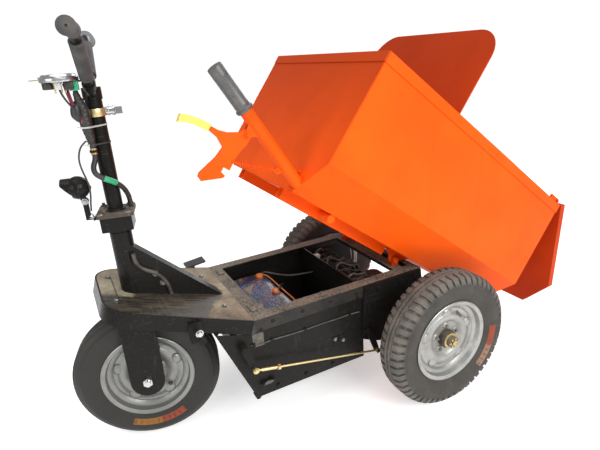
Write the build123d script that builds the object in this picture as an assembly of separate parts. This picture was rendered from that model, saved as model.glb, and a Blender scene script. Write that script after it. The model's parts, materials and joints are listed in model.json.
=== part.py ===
from build123d import *
import math
import os

# Battery power wheelbarrow: three wheels, steered front wheel, tipping bucket over an open battery box.
# Millimetres. +X points forward, +Y to the vehicle's left, +Z up, ground at Z = 0.
# While it is drawn, X = 0 is the rear axle; at the end everything moves to the centre of its footprint.

# ---- driving dimensions ----
WHEELBASE = 875.0
REAR_TYRE_R = 228.0
REAR_TYRE_HALF = 54.0
REAR_TRACK_HALF = 371.0
FRONT_TYRE_R = 220.0
FRONT_TYRE_HALF = 46.0
RIM_FLANGE_R = 139.0
RIM_BEAD_R = 128.0
RIM_WELL_R = 108.0
RIM_HALF = 38.0
RIM_SHEET = 3.0
HUB_R = 30.0

STEER_REST = 14.0
BAR_TWIST = 6.0

FRAME_TOP = 408.0
FRAME_HALF = 222.0
FRAME_FRONT = 586.0
FRAME_REAR = -30.0
ANGLE_LEG = 40.0
ANGLE_THICK = 4.0
CROSS_X = 15.0

BOX_BOTTOM = 140.0
BOX_REAR = 208.0
BOX_SHEET = 3.0
WING_FOOT_X = 602.0
WING_TIP_X = 705.0

DECK_SLOPE = 18.0
DECK_LENGTH = 400.0
DECK_NOSE_HALF = 162.0
DECK_NOSE_R = 95.0
DECK_SHEET = 4.0
DECK_RIM_DEPTH = 45.0
DECK_RIM_SHEET = 5.0

HEAD_R = 30.0
HEAD_BORE_R = 18.05
HEAD_TOP = 690.0
HEAD_BOTTOM = 482.0
STEM_R = 18.0
CROWN_TOP = 466.0
CROWN_THICK = 13.0
FORK_GAP_HALF = 58.0
FORK_THICK = 8.0
FORK_WIDTH = 100.0
FRONT_AXLE_R = 9.0

BLOCK_SIZE = 84.0
BLOCK_BOTTOM = 700.0
FLANGE_SIZE = 98.0
FLANGE_BOTTOM = 742.0
FLANGE_THICK = 10.0
COLUMN_R = 21.0
COLUMN_TOP = 1050.0
BAR_R = 12.0
BAR_HEIGHT = 1204.0
BAR_HALF = 345.0
GRIP_LENGTH = 122.0
GRIP_R = 18.0

TIP_ANGLE = 37.0
PIVOT_X = 30.0
PIVOT_Z = 430.0
PIVOT_R = 6.0
BUCKET_FRONT = 563.0
BUCKET_FLOOR = 455.0
BUCKET_LENGTH = 950.0
BUCKET_HEIGHT = 433.0
BUCKET_HALF = 330.0
BUCKET_FLOOR_HALF = 231.0
BUCKET_CHAMFER = 108.0
BUCKET_SHEET = 2.5
RIM_BAND = 30.0
GUARD_BACK = 338.0
GUARD_RISE = 305.0
GUARD_SHEET = 4.0
GUARD_CORNER_R = 100.0
GATE_GAP = 1.5
GATE_SHEET = 3.0

HANDLE_R = 17.0
HANDLE_Y = 240.0
HANDLE_RISE = 21.5
HANDLE_LENGTH = 372.0
DUMP_GRIP_R = 22.0
DUMP_GRIP_LENGTH = 122.0
LATCH_SHEET = 8.0
LATCH_PIN_R = 5.0
CATCH_R = 6.0
SPRING_R = 7.0
SPRING_WIRE_R = 2.0

MOTOR_R = 62.0
MOTOR_LENGTH = 210.0
AXLE_TUBE_R = 30.0
BATTERY_WIDTH = 166.0
BATTERY_LENGTH = 176.0
BATTERY_HEIGHT = 206.0
REAR_BATTERY_HEIGHT = 158.0

BRAKE_X = 632.0
BRAKE_Z = 335.0
BRAKE_R = 9.0
CRANK_DX = -24.0
CRANK_DZ = -73.0
ARM_X = 196.0
ARM_Z = 240.0
BRAKE_PIN_R = 4.0

# ---- clearances ----
RUN = 0.05
SEAT = 0.3
SIDE_GAP = 2.0
ROD_PLAY = 0.4


def box(x0, x1, y0, y1, z0, z1):
    return Pos((x0 + x1) / 2, (y0 + y1) / 2, (z0 + z1) / 2) * Box(x1 - x0, y1 - y0, z1 - z0)


def rod(p, q, radius):
    """A round bar from point p to point q."""
    a = Vector(*p)
    b = Vector(*q)
    place = Plane(origin=a, z_dir=b - a)
    return extrude(place * Circle(radius), amount=(b - a).length)


def pipe(p, q, radius, bore):
    a = Vector(*p)
    b = Vector(*q)
    place = Plane(origin=a, z_dir=b - a)
    return extrude(place * (Circle(radius) - Circle(bore)), amount=(b - a).length)


def slab_xz(points, y0, y1):
    """A flat plate: an outline in X and Z, from y0 to y1."""
    face = make_face(Polyline(*[(x, y0, z) for x, z in points], close=True))
    return extrude(face, amount=y1 - y0, dir=(0, 1, 0))


def slab_yz(points, x0, x1):
    face = make_face(Polyline(*[(x0, y, z) for y, z in points], close=True))
    return extrude(face, amount=x1 - x0, dir=(1, 0, 0))


def turned(points, centre):
    """A ring about a line along Y through centre; points are (radius, offset along Y)."""
    x, y, z = centre
    face = make_face(Polyline(*[(x, y + across, z + radius) for radius, across in points], close=True))
    return revolve(face, axis=Axis((x, y, z), (0, 1, 0)))


def mirrored(shape):
    return mirror(shape, about=Plane.XZ)


def both(shape):
    return [shape, mirrored(shape)]


def joined(first, *rest):
    out = first
    for other in rest:
        out = out + other
    return out


def swept(points, radii, radius):
    """A round lead or tube along straight runs joined by tangent arcs."""
    path = FilletPolyline(*points, radius=radii)
    place = Plane(origin=path @ 0, z_dir=path % 0)
    return sweep(place * Circle(radius), path=path)


def lead_radii(points):
    """Each arc is as large as its two runs allow: 0.45 of the shorter run over the half turn's tangent."""
    out = []
    for a, b, c in zip(points, points[1:], points[2:]):
        u = Vector(*b) - Vector(*a)
        v = Vector(*c) - Vector(*b)
        turn = math.radians(u.get_angle(v))
        out.append(0.45 * min(u.length, v.length) / math.tan(turn / 2))
    return out


def lead(name, points, radius):
    radii = lead_radii(points)
    solid = swept(points, radii, radius)
    path = FilletPolyline(*points, radius=radii)
    section = math.pi * radius**2
    print(name, "radii", [round(r, 1) for r in radii], "length", round(path.length, 1),
          "volume ratio", round(solid.volume / section / path.length, 4))
    return solid


NODES = {}


# ---- wheels ----
def tyre(centre, radius, half):
    """A pneumatic tyre: crown, shoulders, bulged walls and beads, hollow towards the rim."""
    bead = RIM_BEAD_R + SEAT
    wide = (radius + bead) / 2 + 4
    outer = [(bead, RIM_HALF - RIM_SHEET - SEAT), (RIM_FLANGE_R + 4, RIM_HALF - 2), (wide - 18, half - 4),
             (wide + 4, half), (radius - 22, half - 3), (radius - 7, half - 12), (radius, half - 26)]
    wall = 9.0
    inner = [(radius - wall - 3, half - 28), (radius - wall - 12, half - wall - 9), (wide + 2, half - wall),
             (wide - 16, half - wall - 3), (RIM_FLANGE_R + 6, RIM_HALF - 2 - wall),
             (bead, RIM_HALF - RIM_SHEET - SEAT - wall)]
    right = [(r, -a) for r, a in outer]
    right_inner = [(r, -a) for r, a in inner]
    # the outline runs up one wall, over the crown, down the other wall and back inside
    loop = outer + right[::-1] + right_inner[::-1] + inner
    return turned(loop, centre)


def rim(centre, side):
    """Pressed rim with flanges, drop well and a dished disc with hand holes and nut pads."""
    t = RIM_SHEET
    barrel = [(RIM_FLANGE_R, RIM_HALF + 4), (RIM_FLANGE_R - 2, RIM_HALF), (RIM_BEAD_R, RIM_HALF - t),
              (RIM_BEAD_R - 3, 22), (RIM_WELL_R, 15), (RIM_WELL_R, -15), (RIM_BEAD_R - 3, -22),
              (RIM_BEAD_R, -RIM_HALF + t), (RIM_FLANGE_R - 2, -RIM_HALF), (RIM_FLANGE_R, -RIM_HALF - 4)]
    under = [(RIM_FLANGE_R - t - 3, -RIM_HALF - 4), (RIM_FLANGE_R - t - 4, -RIM_HALF - 1),
             (RIM_BEAD_R - t - 2, -RIM_HALF - 1 + t), (RIM_BEAD_R - t - 6, -20), (RIM_WELL_R - t, -13),
             (RIM_WELL_R - t, 13), (RIM_BEAD_R - t - 6, 20), (RIM_BEAD_R - t - 2, RIM_HALF + 1 - t),
             (RIM_FLANGE_R - t - 4, RIM_HALF + 1), (RIM_FLANGE_R - t - 3, RIM_HALF + 4)]
    out = turned(barrel + under, centre)
    s = side
    disc = [(RIM_WELL_R - 1, 12 * s), (96, 13 * s), (84, 20 * s), (66, 20 * s), (56, 10 * s), (HUB_R, 10 * s),
            (HUB_R, 6 * s), (57, 6 * s), (67, 16 * s), (83, 16 * s), (94, 9 * s), (RIM_WELL_R - 1, 8 * s)]
    plate = turned(disc, centre)
    x, y, z = centre
    for k in range(4):
        a = math.radians(45 + 90 * k)
        hx = x + 75 * math.cos(a)
        hz = z + 75 * math.sin(a)
        plate -= rod((hx, y - 30, hz), (hx, y + 30, hz), 9)
    out += plate
    for k in range(5):
        a = math.radians(90 + 72 * k)
        hx = x + 43 * math.cos(a)
        hz = z + 43 * math.sin(a)
        out += rod((hx, y + 9 * s, hz), (hx, y + 17 * s, hz), 8)
    valve_angle = math.radians(118)
    vx = x + 92 * math.cos(valve_angle)
    vz = z + 92 * math.sin(valve_angle)
    out += rod((vx, y + 12 * s, vz), (vx + 6, y + 36 * s, vz - 3), 4)
    return out


rear_left = (0.0, REAR_TRACK_HALF, REAR_TYRE_R)
front_centre = (WHEELBASE, 0.0, FRONT_TYRE_R)
NODES["rear_tyre_left"] = tyre(rear_left, REAR_TYRE_R, REAR_TYRE_HALF)
NODES["rear_rim_left"] = rim(rear_left, 1)
drum_outer = REAR_TRACK_HALF + 6
drum_inner = REAR_TRACK_HALF - 52
NODES["rear_hub_left"] = turned(
    [(HUB_R - SEAT, REAR_TRACK_HALF + 28), (HUB_R - SEAT, drum_outer), (78, drum_outer), (84, drum_outer - 6),
     (84, drum_inner), (78, drum_inner), (78, drum_outer - 8), (22, drum_outer - 8), (22, drum_inner + 12),
     (14, drum_inner + 12), (14, REAR_TRACK_HALF + 34), (20, REAR_TRACK_HALF + 34)],
    (0, 0, REAR_TYRE_R))
for piece in ("tyre", "rim", "hub"):
    NODES["rear_%s_right" % piece] = mirrored(NODES["rear_%s_left" % piece])
NODES["front_tyre"] = tyre(front_centre, FRONT_TYRE_R, FRONT_TYRE_HALF)
NODES["front_rim"] = rim(front_centre, 1)
hub_half = FORK_GAP_HALF - SIDE_GAP
NODES["front_hub"] = turned(
    [(FRONT_AXLE_R + RUN, -hub_half), (16, -hub_half), (HUB_R - SEAT, -28), (HUB_R - SEAT, 28),
     (16, hub_half), (FRONT_AXLE_R + RUN, hub_half)], front_centre)

# ---- chassis ----
leg = ANGLE_LEG
th = ANGLE_THICK
rail = joined(box(FRAME_REAR, FRAME_FRONT, FRAME_HALF - leg, FRAME_HALF, FRAME_TOP - th, FRAME_TOP),
              box(FRAME_REAR, FRAME_FRONT, FRAME_HALF - th, FRAME_HALF, FRAME_TOP - leg, FRAME_TOP))
cross = joined(box(CROSS_X, CROSS_X + leg, -FRAME_HALF, FRAME_HALF, FRAME_TOP - th, FRAME_TOP),
               box(CROSS_X, CROSS_X + th, -FRAME_HALF, FRAME_HALF, FRAME_TOP - leg, FRAME_TOP))
tail = joined(box(FRAME_REAR, FRAME_REAR + th, -FRAME_HALF, FRAME_HALF, FRAME_TOP - leg, FRAME_TOP),
              box(FRAME_REAR, FRAME_REAR + 25, -FRAME_HALF, FRAME_HALF, FRAME_TOP - th, FRAME_TOP))
head = joined(box(FRAME_FRONT - leg, FRAME_FRONT, -FRAME_HALF, FRAME_HALF, FRAME_TOP - th, FRAME_TOP))
NODES["frame_rails"] = joined(rail, mirrored(rail), cross, tail, head)

slope = math.tan(math.radians(DECK_SLOPE))
rim_drop = DECK_RIM_DEPTH / math.cos(math.radians(DECK_SLOPE)) + SIDE_GAP


def deck_z(x):
    return FRAME_TOP + (x - FRAME_FRONT) * slope


box_half = FRAME_HALF - ANGLE_THICK
box_top = FRAME_TOP - ANGLE_THICK
side = slab_xz([(BOX_REAR, BOX_BOTTOM), (WING_FOOT_X, BOX_BOTTOM), (WING_TIP_X, deck_z(WING_TIP_X) - rim_drop),
                (FRAME_FRONT, deck_z(FRAME_FRONT) - rim_drop), (FRAME_FRONT, box_top), (BOX_REAR, box_top)],
               box_half - BOX_SHEET, box_half)
flange = slab_xz([(WING_FOOT_X, BOX_BOTTOM), (WING_TIP_X, deck_z(WING_TIP_X) - rim_drop),
                  (WING_TIP_X - 4, deck_z(WING_TIP_X) - rim_drop), (WING_FOOT_X - 4, BOX_BOTTOM)],
                 box_half - 24, box_half)
foot = rod((WING_FOOT_X - 4, box_half - 24, BOX_BOTTOM + 2), (WING_FOOT_X - 4, box_half, BOX_BOTTOM + 2), 9)
floor_plate = box(BOX_REAR, WING_FOOT_X - 22, -box_half, box_half, BOX_BOTTOM, BOX_BOTTOM + BOX_SHEET)
front_wall = box(WING_FOOT_X - 25, WING_FOOT_X - 22, -box_half, box_half, BOX_BOTTOM, box_top - 1)
back_wall = box(BOX_REAR, BOX_REAR + BOX_SHEET, -box_half, box_half, BOX_BOTTOM, box_top - 1)
battery_box = joined(side, mirrored(side), flange, mirrored(flange), foot, mirrored(foot),
                     floor_plate, front_wall, back_wall)
battery_box -= rod((BRAKE_X, -FRAME_HALF - 40, BRAKE_Z), (BRAKE_X, FRAME_HALF + 40, BRAKE_Z), BRAKE_R + RUN)
NODES["battery_box"] = battery_box

battery_front = WING_FOOT_X - 25 - 4
battery_z = BOX_BOTTOM + BOX_SHEET


def battery(x0, y0, length, width, high=BATTERY_HEIGHT):
    body = box(x0, x0 + length, y0, y0 + width, battery_z, battery_z + high)
    body = fillet(body.edges().filter_by(Axis.Z), 5)
    posts = [rod((x0 + length * a, y0 + width * b, battery_z + high),
                 (x0 + length * a, y0 + width * b, battery_z + high + 12), 8)
             for a, b in ((0.2, 0.15), (0.2, 0.85))]
    return joined(body, *posts)


cell_gap = 4.0
NODES["battery_left"] = battery(battery_front - BATTERY_LENGTH, cell_gap / 2, BATTERY_LENGTH, BATTERY_WIDTH)
NODES["battery_right"] = battery(battery_front - BATTERY_LENGTH, -cell_gap / 2 - BATTERY_WIDTH,
                                 BATTERY_LENGTH, BATTERY_WIDTH)
NODES["battery_rear"] = battery(battery_front - 2 * BATTERY_LENGTH - cell_gap, cell_gap / 2,
                                BATTERY_LENGTH, BATTERY_WIDTH, REAR_BATTERY_HEIGHT)

# ---- deck ----
deck_plane = Plane(origin=(FRAME_FRONT, 0, FRAME_TOP),
                   x_dir=(math.cos(math.radians(DECK_SLOPE)), 0, math.sin(math.radians(DECK_SLOPE))),
                   z_dir=(-math.sin(math.radians(DECK_SLOPE)), 0, math.cos(math.radians(DECK_SLOPE))))


def deck_outline(inset, start=0.0):
    """The deck seen from above: wide at the frame, tapering to a rounded nose."""
    tip = DECK_LENGTH - inset
    taper = (FRAME_HALF - DECK_NOSE_HALF) / DECK_LENGTH
    half = FRAME_HALF - inset - taper * start
    nose = FRAME_HALF - inset - taper * tip
    shape = Polygon((start, -half), (tip, -nose), (tip, nose), (start, half), align=None)
    corners = shape.vertices().sort_by(Axis.X)[-2:]
    return fillet(corners, DECK_NOSE_R - inset)


def deck_slab(inset, top, bottom, start=0.0):
    return extrude(deck_plane.offset(bottom) * deck_outline(inset, start), amount=top - bottom)


head_hole = rod((WHEELBASE, 0, 300), (WHEELBASE, 0, HEAD_TOP), HEAD_R)
rim_ring = deck_slab(0, 0, -DECK_RIM_DEPTH) - deck_slab(DECK_RIM_SHEET, 1, -DECK_RIM_DEPTH - 1, -20.0)
lip_ring = deck_slab(0, -DECK_RIM_DEPTH + 4, -DECK_RIM_DEPTH) - deck_slab(22, 1, -DECK_RIM_DEPTH - 1, -20.0)
square_back = box(FRAME_FRONT, WHEELBASE * 2, -FRAME_HALF * 2, FRAME_HALF * 2, 0, HEAD_TOP)
NODES["deck_rim"] = (rim_ring + lip_ring) & square_back
NODES["deck_plate"] = (deck_slab(DECK_RIM_SHEET, 0, -DECK_SHEET) - head_hole) & square_back

gusset_tip_x = 614.0
gusset_top_z = 636.0
gusset_half = HEAD_R - 2
cheek = slab_xz([(gusset_tip_x, deck_z(gusset_tip_x)), (WHEELBASE, deck_z(WHEELBASE)), (WHEELBASE, gusset_top_z + 28),
                 (WHEELBASE - HEAD_R, gusset_top_z)], gusset_half - 4, gusset_half)
ridge = slab_xz([(gusset_tip_x, deck_z(gusset_tip_x)), (gusset_tip_x + 6, deck_z(gusset_tip_x + 6)),
                 (WHEELBASE, gusset_top_z + 22), (WHEELBASE, gusset_top_z + 28), (WHEELBASE - HEAD_R, gusset_top_z)],
                -gusset_half, gusset_half)
NODES["deck_gusset"] = joined(cheek, mirrored(cheek), ridge) - head_hole
NODES["head_tube"] = pipe((WHEELBASE, 0, HEAD_BOTTOM), (WHEELBASE, 0, HEAD_TOP), HEAD_R, HEAD_BORE_R)

# ---- rear axle and drive ----
back_gap = 2.0
axle_half = drum_inner - back_gap
axle = joined(rod((0, -axle_half, REAR_TYRE_R), (0, axle_half, REAR_TYRE_R), AXLE_TUBE_R),
              turned([(0, -70), (40, -70), (78, -40), (78, 40), (40, 70), (0, 70)], (0, 0, REAR_TYRE_R)))
stub_r = 14.0 - RUN
for s in (-1, 1):
    axle += rod((0, s * (axle_half - 1), REAR_TYRE_R), (0, s * (REAR_TRACK_HALF + 40), REAR_TYRE_R), stub_r)
    axle += turned([(0, s * (REAR_TRACK_HALF + 34 + SEAT)), (19, s * (REAR_TRACK_HALF + 34 + SEAT)),
                    (19, s * (REAR_TRACK_HALF + 48)), (0, s * (REAR_TRACK_HALF + 48))], (0, 0, REAR_TYRE_R))
NODES["axle_housing"] = axle
CARRIER_IN = FRAME_HALF
CARRIER_OUT = FRAME_HALF + 8
carrier = slab_xz([(FRAME_REAR + 4, FRAME_TOP - 2), (206, FRAME_TOP - 2), (214, 300), (214, 214), (150, 186), (-44, 190)],
                  CARRIER_IN, CARRIER_OUT)
carrier -= rod((0, 0, REAR_TYRE_R), (0, 400, REAR_TYRE_R), AXLE_TUBE_R)
for px, pz in ((0, 385), (60, 385), (150, 385), (190, 330), (90, 300)):
    carrier += rod((px, CARRIER_OUT - 1, pz), (px, CARRIER_OUT + 7, pz), 8)
NODES["axle_carriers"] = joined(carrier, mirrored(carrier))
plates = turned([(AXLE_TUBE_R, axle_half - 8), (88, axle_half - 8), (88, axle_half), (AXLE_TUBE_R, axle_half)],
                (0, 0, REAR_TYRE_R))
NODES["brake_backplates"] = joined(plates, mirrored(plates))
motor_x = 138.0
motor_y = 20.0
motor = turned([(0, -MOTOR_LENGTH / 2), (MOTOR_R - 6, -MOTOR_LENGTH / 2), (MOTOR_R, -MOTOR_LENGTH / 2 + 6),
                (MOTOR_R, MOTOR_LENGTH / 2 - 6), (MOTOR_R - 6, MOTOR_LENGTH / 2), (0, MOTOR_LENGTH / 2)],
               (motor_x, motor_y, REAR_TYRE_R + 34))
gearcase = slab_xz([(20, REAR_TYRE_R - 46), (motor_x + 40, REAR_TYRE_R - 10), (motor_x + 40, REAR_TYRE_R + 66),
                    (20, REAR_TYRE_R + 60)], motor_y - MOTOR_LENGTH / 2 - 34, motor_y - MOTOR_LENGTH / 2)
gearcase = gearcase - rod((0, -300, REAR_TYRE_R), (0, 300, REAR_TYRE_R), AXLE_TUBE_R)
NODES["drive_motor"] = joined(motor, gearcase)

# ---- bucket hinge and stops on the frame ----
LUG_Y = 150.0
EAR_THICK = 8.0
LUG_THICK = 6.0
lug_in = EAR_THICK / 2 + 1.0
lugs = None
for s in (-1, 1):
    for t in (-1, 1):
        y0 = s * LUG_Y + (lug_in if t > 0 else -lug_in - LUG_THICK)
        lug = joined(box(PIVOT_X - 14, PIVOT_X + 14, y0, y0 + LUG_THICK, FRAME_TOP, PIVOT_Z),
                     rod((PIVOT_X, y0, PIVOT_Z), (PIVOT_X, y0 + LUG_THICK, PIVOT_Z), 14))
        lug -= rod((PIVOT_X, y0 - 5, PIVOT_Z), (PIVOT_X, y0 + LUG_THICK + 5, PIVOT_Z), PIVOT_R + RUN)
        lugs = lug if lugs is None else lugs + lug
NODES["hinge_lugs"] = lugs
PAD_HEIGHT = 14.0
pads = [box(FRAME_FRONT - 34, FRAME_FRONT - 10, s * 150 - 22, s * 150 + 22, FRAME_TOP, FRAME_TOP + PAD_HEIGHT)
        for s in (-1, 1)]
NODES["bucket_pads"] = joined(*pads)

# ---- tipping bucket, drawn lowered, then tipped about its pivot ----
bucket_rear = BUCKET_FRONT - BUCKET_LENGTH
bucket_top = BUCKET_FLOOR + BUCKET_HEIGHT


def bucket_section(inset, low, high):
    """The bucket's cross-section in Y and Z: flat floor, chamfered lower corners, upright walls."""
    k = inset * 0.41
    return [(-BUCKET_FLOOR_HALF + k, low), (BUCKET_FLOOR_HALF - k, low),
            (BUCKET_HALF - inset, BUCKET_FLOOR + BUCKET_CHAMFER + k), (BUCKET_HALF - inset, high),
            (-BUCKET_HALF + inset, high), (-BUCKET_HALF + inset, BUCKET_FLOOR + BUCKET_CHAMFER + k)]


t = BUCKET_SHEET
shell = slab_yz(bucket_section(0, BUCKET_FLOOR, bucket_top), bucket_rear, BUCKET_FRONT)
shell -= slab_yz(bucket_section(t, BUCKET_FLOOR + t, bucket_top + 5), bucket_rear - 5, BUCKET_FRONT - t)
fold = box(bucket_rear, BUCKET_FRONT, -BUCKET_HALF, BUCKET_HALF, bucket_top - t, bucket_top)
drop = box(bucket_rear, BUCKET_FRONT - RIM_BAND + t, -BUCKET_HALF + RIM_BAND - t, BUCKET_HALF - RIM_BAND + t,
           bucket_top - 24, bucket_top)
cutter = box(bucket_rear - 5, BUCKET_FRONT - RIM_BAND, -BUCKET_HALF + RIM_BAND, BUCKET_HALF - RIM_BAND,
             bucket_top - 40, bucket_top + 5)
fold = joined(fold, drop) - cutter
band_out = 3.0
band = box(bucket_rear, BUCKET_FRONT + band_out, -BUCKET_HALF - band_out, BUCKET_HALF + band_out,
           bucket_top - RIM_BAND, bucket_top)
band -= box(bucket_rear - 5, BUCKET_FRONT, -BUCKET_HALF, BUCKET_HALF, bucket_top - 60, bucket_top + 5)
shell = joined(shell, fold, band)

ear_r = 16.0
ears = None
for s in (-1, 1):
    y0 = s * LUG_Y - EAR_THICK / 2
    ear = joined(slab_xz([(PIVOT_X - 60, BUCKET_FLOOR), (PIVOT_X + 60, BUCKET_FLOOR), (PIVOT_X + ear_r, PIVOT_Z),
                          (PIVOT_X - ear_r, PIVOT_Z)], y0, y0 + EAR_THICK),
                 rod((PIVOT_X, y0, PIVOT_Z), (PIVOT_X, y0 + EAR_THICK, PIVOT_Z), ear_r))
    ear -= rod((PIVOT_X, y0 - 5, PIVOT_Z), (PIVOT_X, y0 + EAR_THICK + 5, PIVOT_Z), PIVOT_R)
    ears = ear if ears is None else ears + ear
rail_high = BUCKET_FLOOR - FRAME_TOP - PAD_HEIGHT - SEAT
rails = None
for s in (-1, 1):
    bar = box(100, BUCKET_FRONT - 12, s * LUG_Y - 15, s * LUG_Y + 15, BUCKET_FLOOR - rail_high, BUCKET_FLOOR)
    bar -= box(99, BUCKET_FRONT - 11, s * LUG_Y - 12, s * LUG_Y + 12, BUCKET_FLOOR - rail_high - 1, BUCKET_FLOOR - 3)
    rails = bar if rails is None else rails + bar
cross_r = 13.0
cross_tube_x = BUCKET_FRONT - 165
cross_z = BUCKET_FLOOR - cross_r
cross_tube = rod((cross_tube_x, -FRAME_HALF - 4, cross_z), (cross_tube_x, FRAME_HALF + 4, cross_z), cross_r)
under = joined(rails - cross_tube, ears, cross_tube)
NODES["bucket_frame"] = under

guard_x = BUCKET_FRONT - GUARD_BACK
guard_half = BUCKET_HALF - RIM_BAND
guard_low = bucket_top - 110
guard_face = make_face(Polyline((guard_x, -guard_half, guard_low), (guard_x, guard_half, guard_low),
                                (guard_x, guard_half, bucket_top + GUARD_RISE),
                                (guard_x, -guard_half, bucket_top + GUARD_RISE), close=True))
guard = extrude(guard_face, amount=GUARD_SHEET, dir=(-1, 0, 0))
top_edges = guard.edges().filter_by(Axis.X).sort_by(Axis.Z)[-2:]
guard = fillet(top_edges, GUARD_CORNER_R)
NODES["bucket_guard"] = guard

pins = None
for s in (-1, 1):
    reach = lug_in + LUG_THICK + 1.5
    pin = joined(rod((PIVOT_X, s * LUG_Y - reach, PIVOT_Z), (PIVOT_X, s * LUG_Y + reach, PIVOT_Z), PIVOT_R),
                 rod((PIVOT_X, s * LUG_Y - reach - 5, PIVOT_Z), (PIVOT_X, s * LUG_Y - reach, PIVOT_Z), 10),
                 rod((PIVOT_X, s * LUG_Y + reach, PIVOT_Z), (PIVOT_X, s * LUG_Y + reach + 5, PIVOT_Z), 10))
    pins = pin if pins is None else pins + pin
NODES["hinge_pins"] = pins

# hinge line of the tailgate above the rear corners of the rim
GATE_X = bucket_rear + 4
GATE_Z = bucket_top + 12
GATE_PIN_R = 6.0
for s in (-1, 1):
    y0 = s * (BUCKET_HALF - 18)
    tab = joined(box(GATE_X, GATE_X + 40, y0 - 4, y0 + 4, bucket_top, GATE_Z + 9),
                 rod((GATE_X, y0 - 4, GATE_Z), (GATE_X, y0 + 4, GATE_Z), 10))
    tab -= box(GATE_X - 30, bucket_rear, y0 - 10, y0 + 10, bucket_top - 60, bucket_top)
    tab -= rod((GATE_X, y0 - 9, GATE_Z), (GATE_X, y0 + 9, GATE_Z), GATE_PIN_R + RUN)
    shell += tab
NODES["bucket_shell"] = shell

# ---- tailgate, drawn closed ----
gate_x = bucket_rear - GATE_GAP
section = bucket_section(-2, BUCKET_FLOOR + 4, bucket_top - 2)
gate = slab_yz(section, gate_x - GATE_SHEET, gate_x)
inner_section = bucket_section(2, BUCKET_FLOOR + 8, bucket_top - 6)
fold_back = slab_yz(section, gate_x - 22, gate_x) - slab_yz(inner_section, gate_x - 23, gate_x + 1)
gate += fold_back
for zz in (BUCKET_FLOOR + 150, BUCKET_FLOOR + 300):
    gate += box(gate_x - 18, gate_x - 1, -BUCKET_HALF + 3, BUCKET_HALF - 3, zz - 15, zz + 15)
gate_tab_y = BUCKET_HALF - 18 - 4 - 1 - 6
for s in (-1, 1):
    y0 = s * gate_tab_y - 3
    arm = joined(slab_xz([(gate_x - 22, bucket_top - 4), (gate_x, bucket_top - 4), (gate_x, bucket_top + 2),
                          (GATE_X + 4, GATE_Z - 9), (GATE_X, GATE_Z + 9), (gate_x - 22, bucket_top + 6)],
                         y0, y0 + 6),
                 rod((GATE_X, y0, GATE_Z), (GATE_X, y0 + 6, GATE_Z), 9))
    gate += arm
gate += rod((GATE_X, -BUCKET_HALF + 10, GATE_Z), (GATE_X, BUCKET_HALF - 10, GATE_Z), GATE_PIN_R)
gate_weight = gate.center(CenterOf.MASS)
# hanging free, the gate's centre of mass is straight below its hinge line
gate_lean = math.degrees(math.atan2(GATE_X - gate_weight.X, GATE_Z - gate_weight.Z))
GATE_OPEN = TIP_ANGLE - gate_lean


def tipped(shape):
    return shape.rotate(Axis((PIVOT_X, 0, PIVOT_Z), (0, 1, 0)), -TIP_ANGLE)


NODES["tailgate"] = tipped(gate.rotate(Axis((GATE_X, 0, GATE_Z), (0, 1, 0)), GATE_OPEN))

# ---- tipping handle and latch at the bucket's front left corner ----
rise = math.radians(HANDLE_RISE)
base = (BUCKET_FRONT, HANDLE_Y, BUCKET_FLOOR + 26)


def along_handle(d, down=0.0, y=HANDLE_Y):
    return (base[0] + d * math.cos(rise) + down * math.sin(rise), y,
            base[2] + d * math.sin(rise) - down * math.cos(rise))


handle = rod(along_handle(-30), along_handle(HANDLE_LENGTH), HANDLE_R)
handle -= rod(along_handle(-40), along_handle(HANDLE_LENGTH - 3), HANDLE_R - 3)
handle -= box(0, BUCKET_FRONT, 0, 400, 300, 700)
foot_plate = box(BUCKET_FRONT, BUCKET_FRONT + 4, HANDLE_Y - 30, HANDLE_Y + 8, BUCKET_FLOOR + 4, BUCKET_FLOOR + 70)
foot_plate -= rod(along_handle(-30), along_handle(60), HANDLE_R)
pivot_at = 200.0
spring_at = 70.0
latch_drop = HANDLE_R + 16
ear_y = HANDLE_Y - 6


def handle_lug(d, width, y0, y1, drop, hole):
    p = along_handle(d, drop, y0)
    q = along_handle(d, drop, y1)
    arm_points = [along_handle(d - width, HANDLE_R - 3), along_handle(d + width, HANDLE_R - 3),
                  along_handle(d + 9, drop), along_handle(d - 9, drop)]
    out = joined(slab_xz([(a, c) for a, b, c in arm_points], y0, y1), rod(p, q, 9))
    return out - rod((p[0], p[1] - 5, p[2]), (q[0], q[1] + 5, q[2]), hole)


lug_gap = LATCH_SHEET / 2 + 0.5
for y0 in (HANDLE_Y - lug_gap - 4, HANDLE_Y + lug_gap):
    handle += handle_lug(pivot_at, 20, y0, y0 + 4, latch_drop, LATCH_PIN_R)
handle += handle_lug(spring_at, 12, HANDLE_Y - 3, HANDLE_Y + 3, HANDLE_R + 6, SPRING_WIRE_R)
latch_pin_a = along_handle(pivot_at, latch_drop, HANDLE_Y - 14)
latch_pin_b = along_handle(pivot_at, latch_drop, HANDLE_Y + 14)
handle += rod(latch_pin_a, latch_pin_b, LATCH_PIN_R)
handle -= rod(along_handle(-40), along_handle(HANDLE_LENGTH - 3), HANDLE_R - 3)
NODES["dump_handle"] = joined(handle, foot_plate)
grip_from = HANDLE_LENGTH - DUMP_GRIP_LENGTH + 4
grip = pipe(along_handle(grip_from), along_handle(HANDLE_LENGTH + 4), DUMP_GRIP_R, HANDLE_R)
grip += rod(along_handle(HANDLE_LENGTH), along_handle(HANDLE_LENGTH + 4), DUMP_GRIP_R)
grip += pipe(along_handle(grip_from - 5), along_handle(grip_from + 3), DUMP_GRIP_R + 5, HANDLE_R)
NODES["dump_grip"] = grip

pivot = along_handle(pivot_at, latch_drop)
PX = pivot[0]
PZ = pivot[2]


def from_pivot(x, z):
    return (PX + x, PZ + z)


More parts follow.
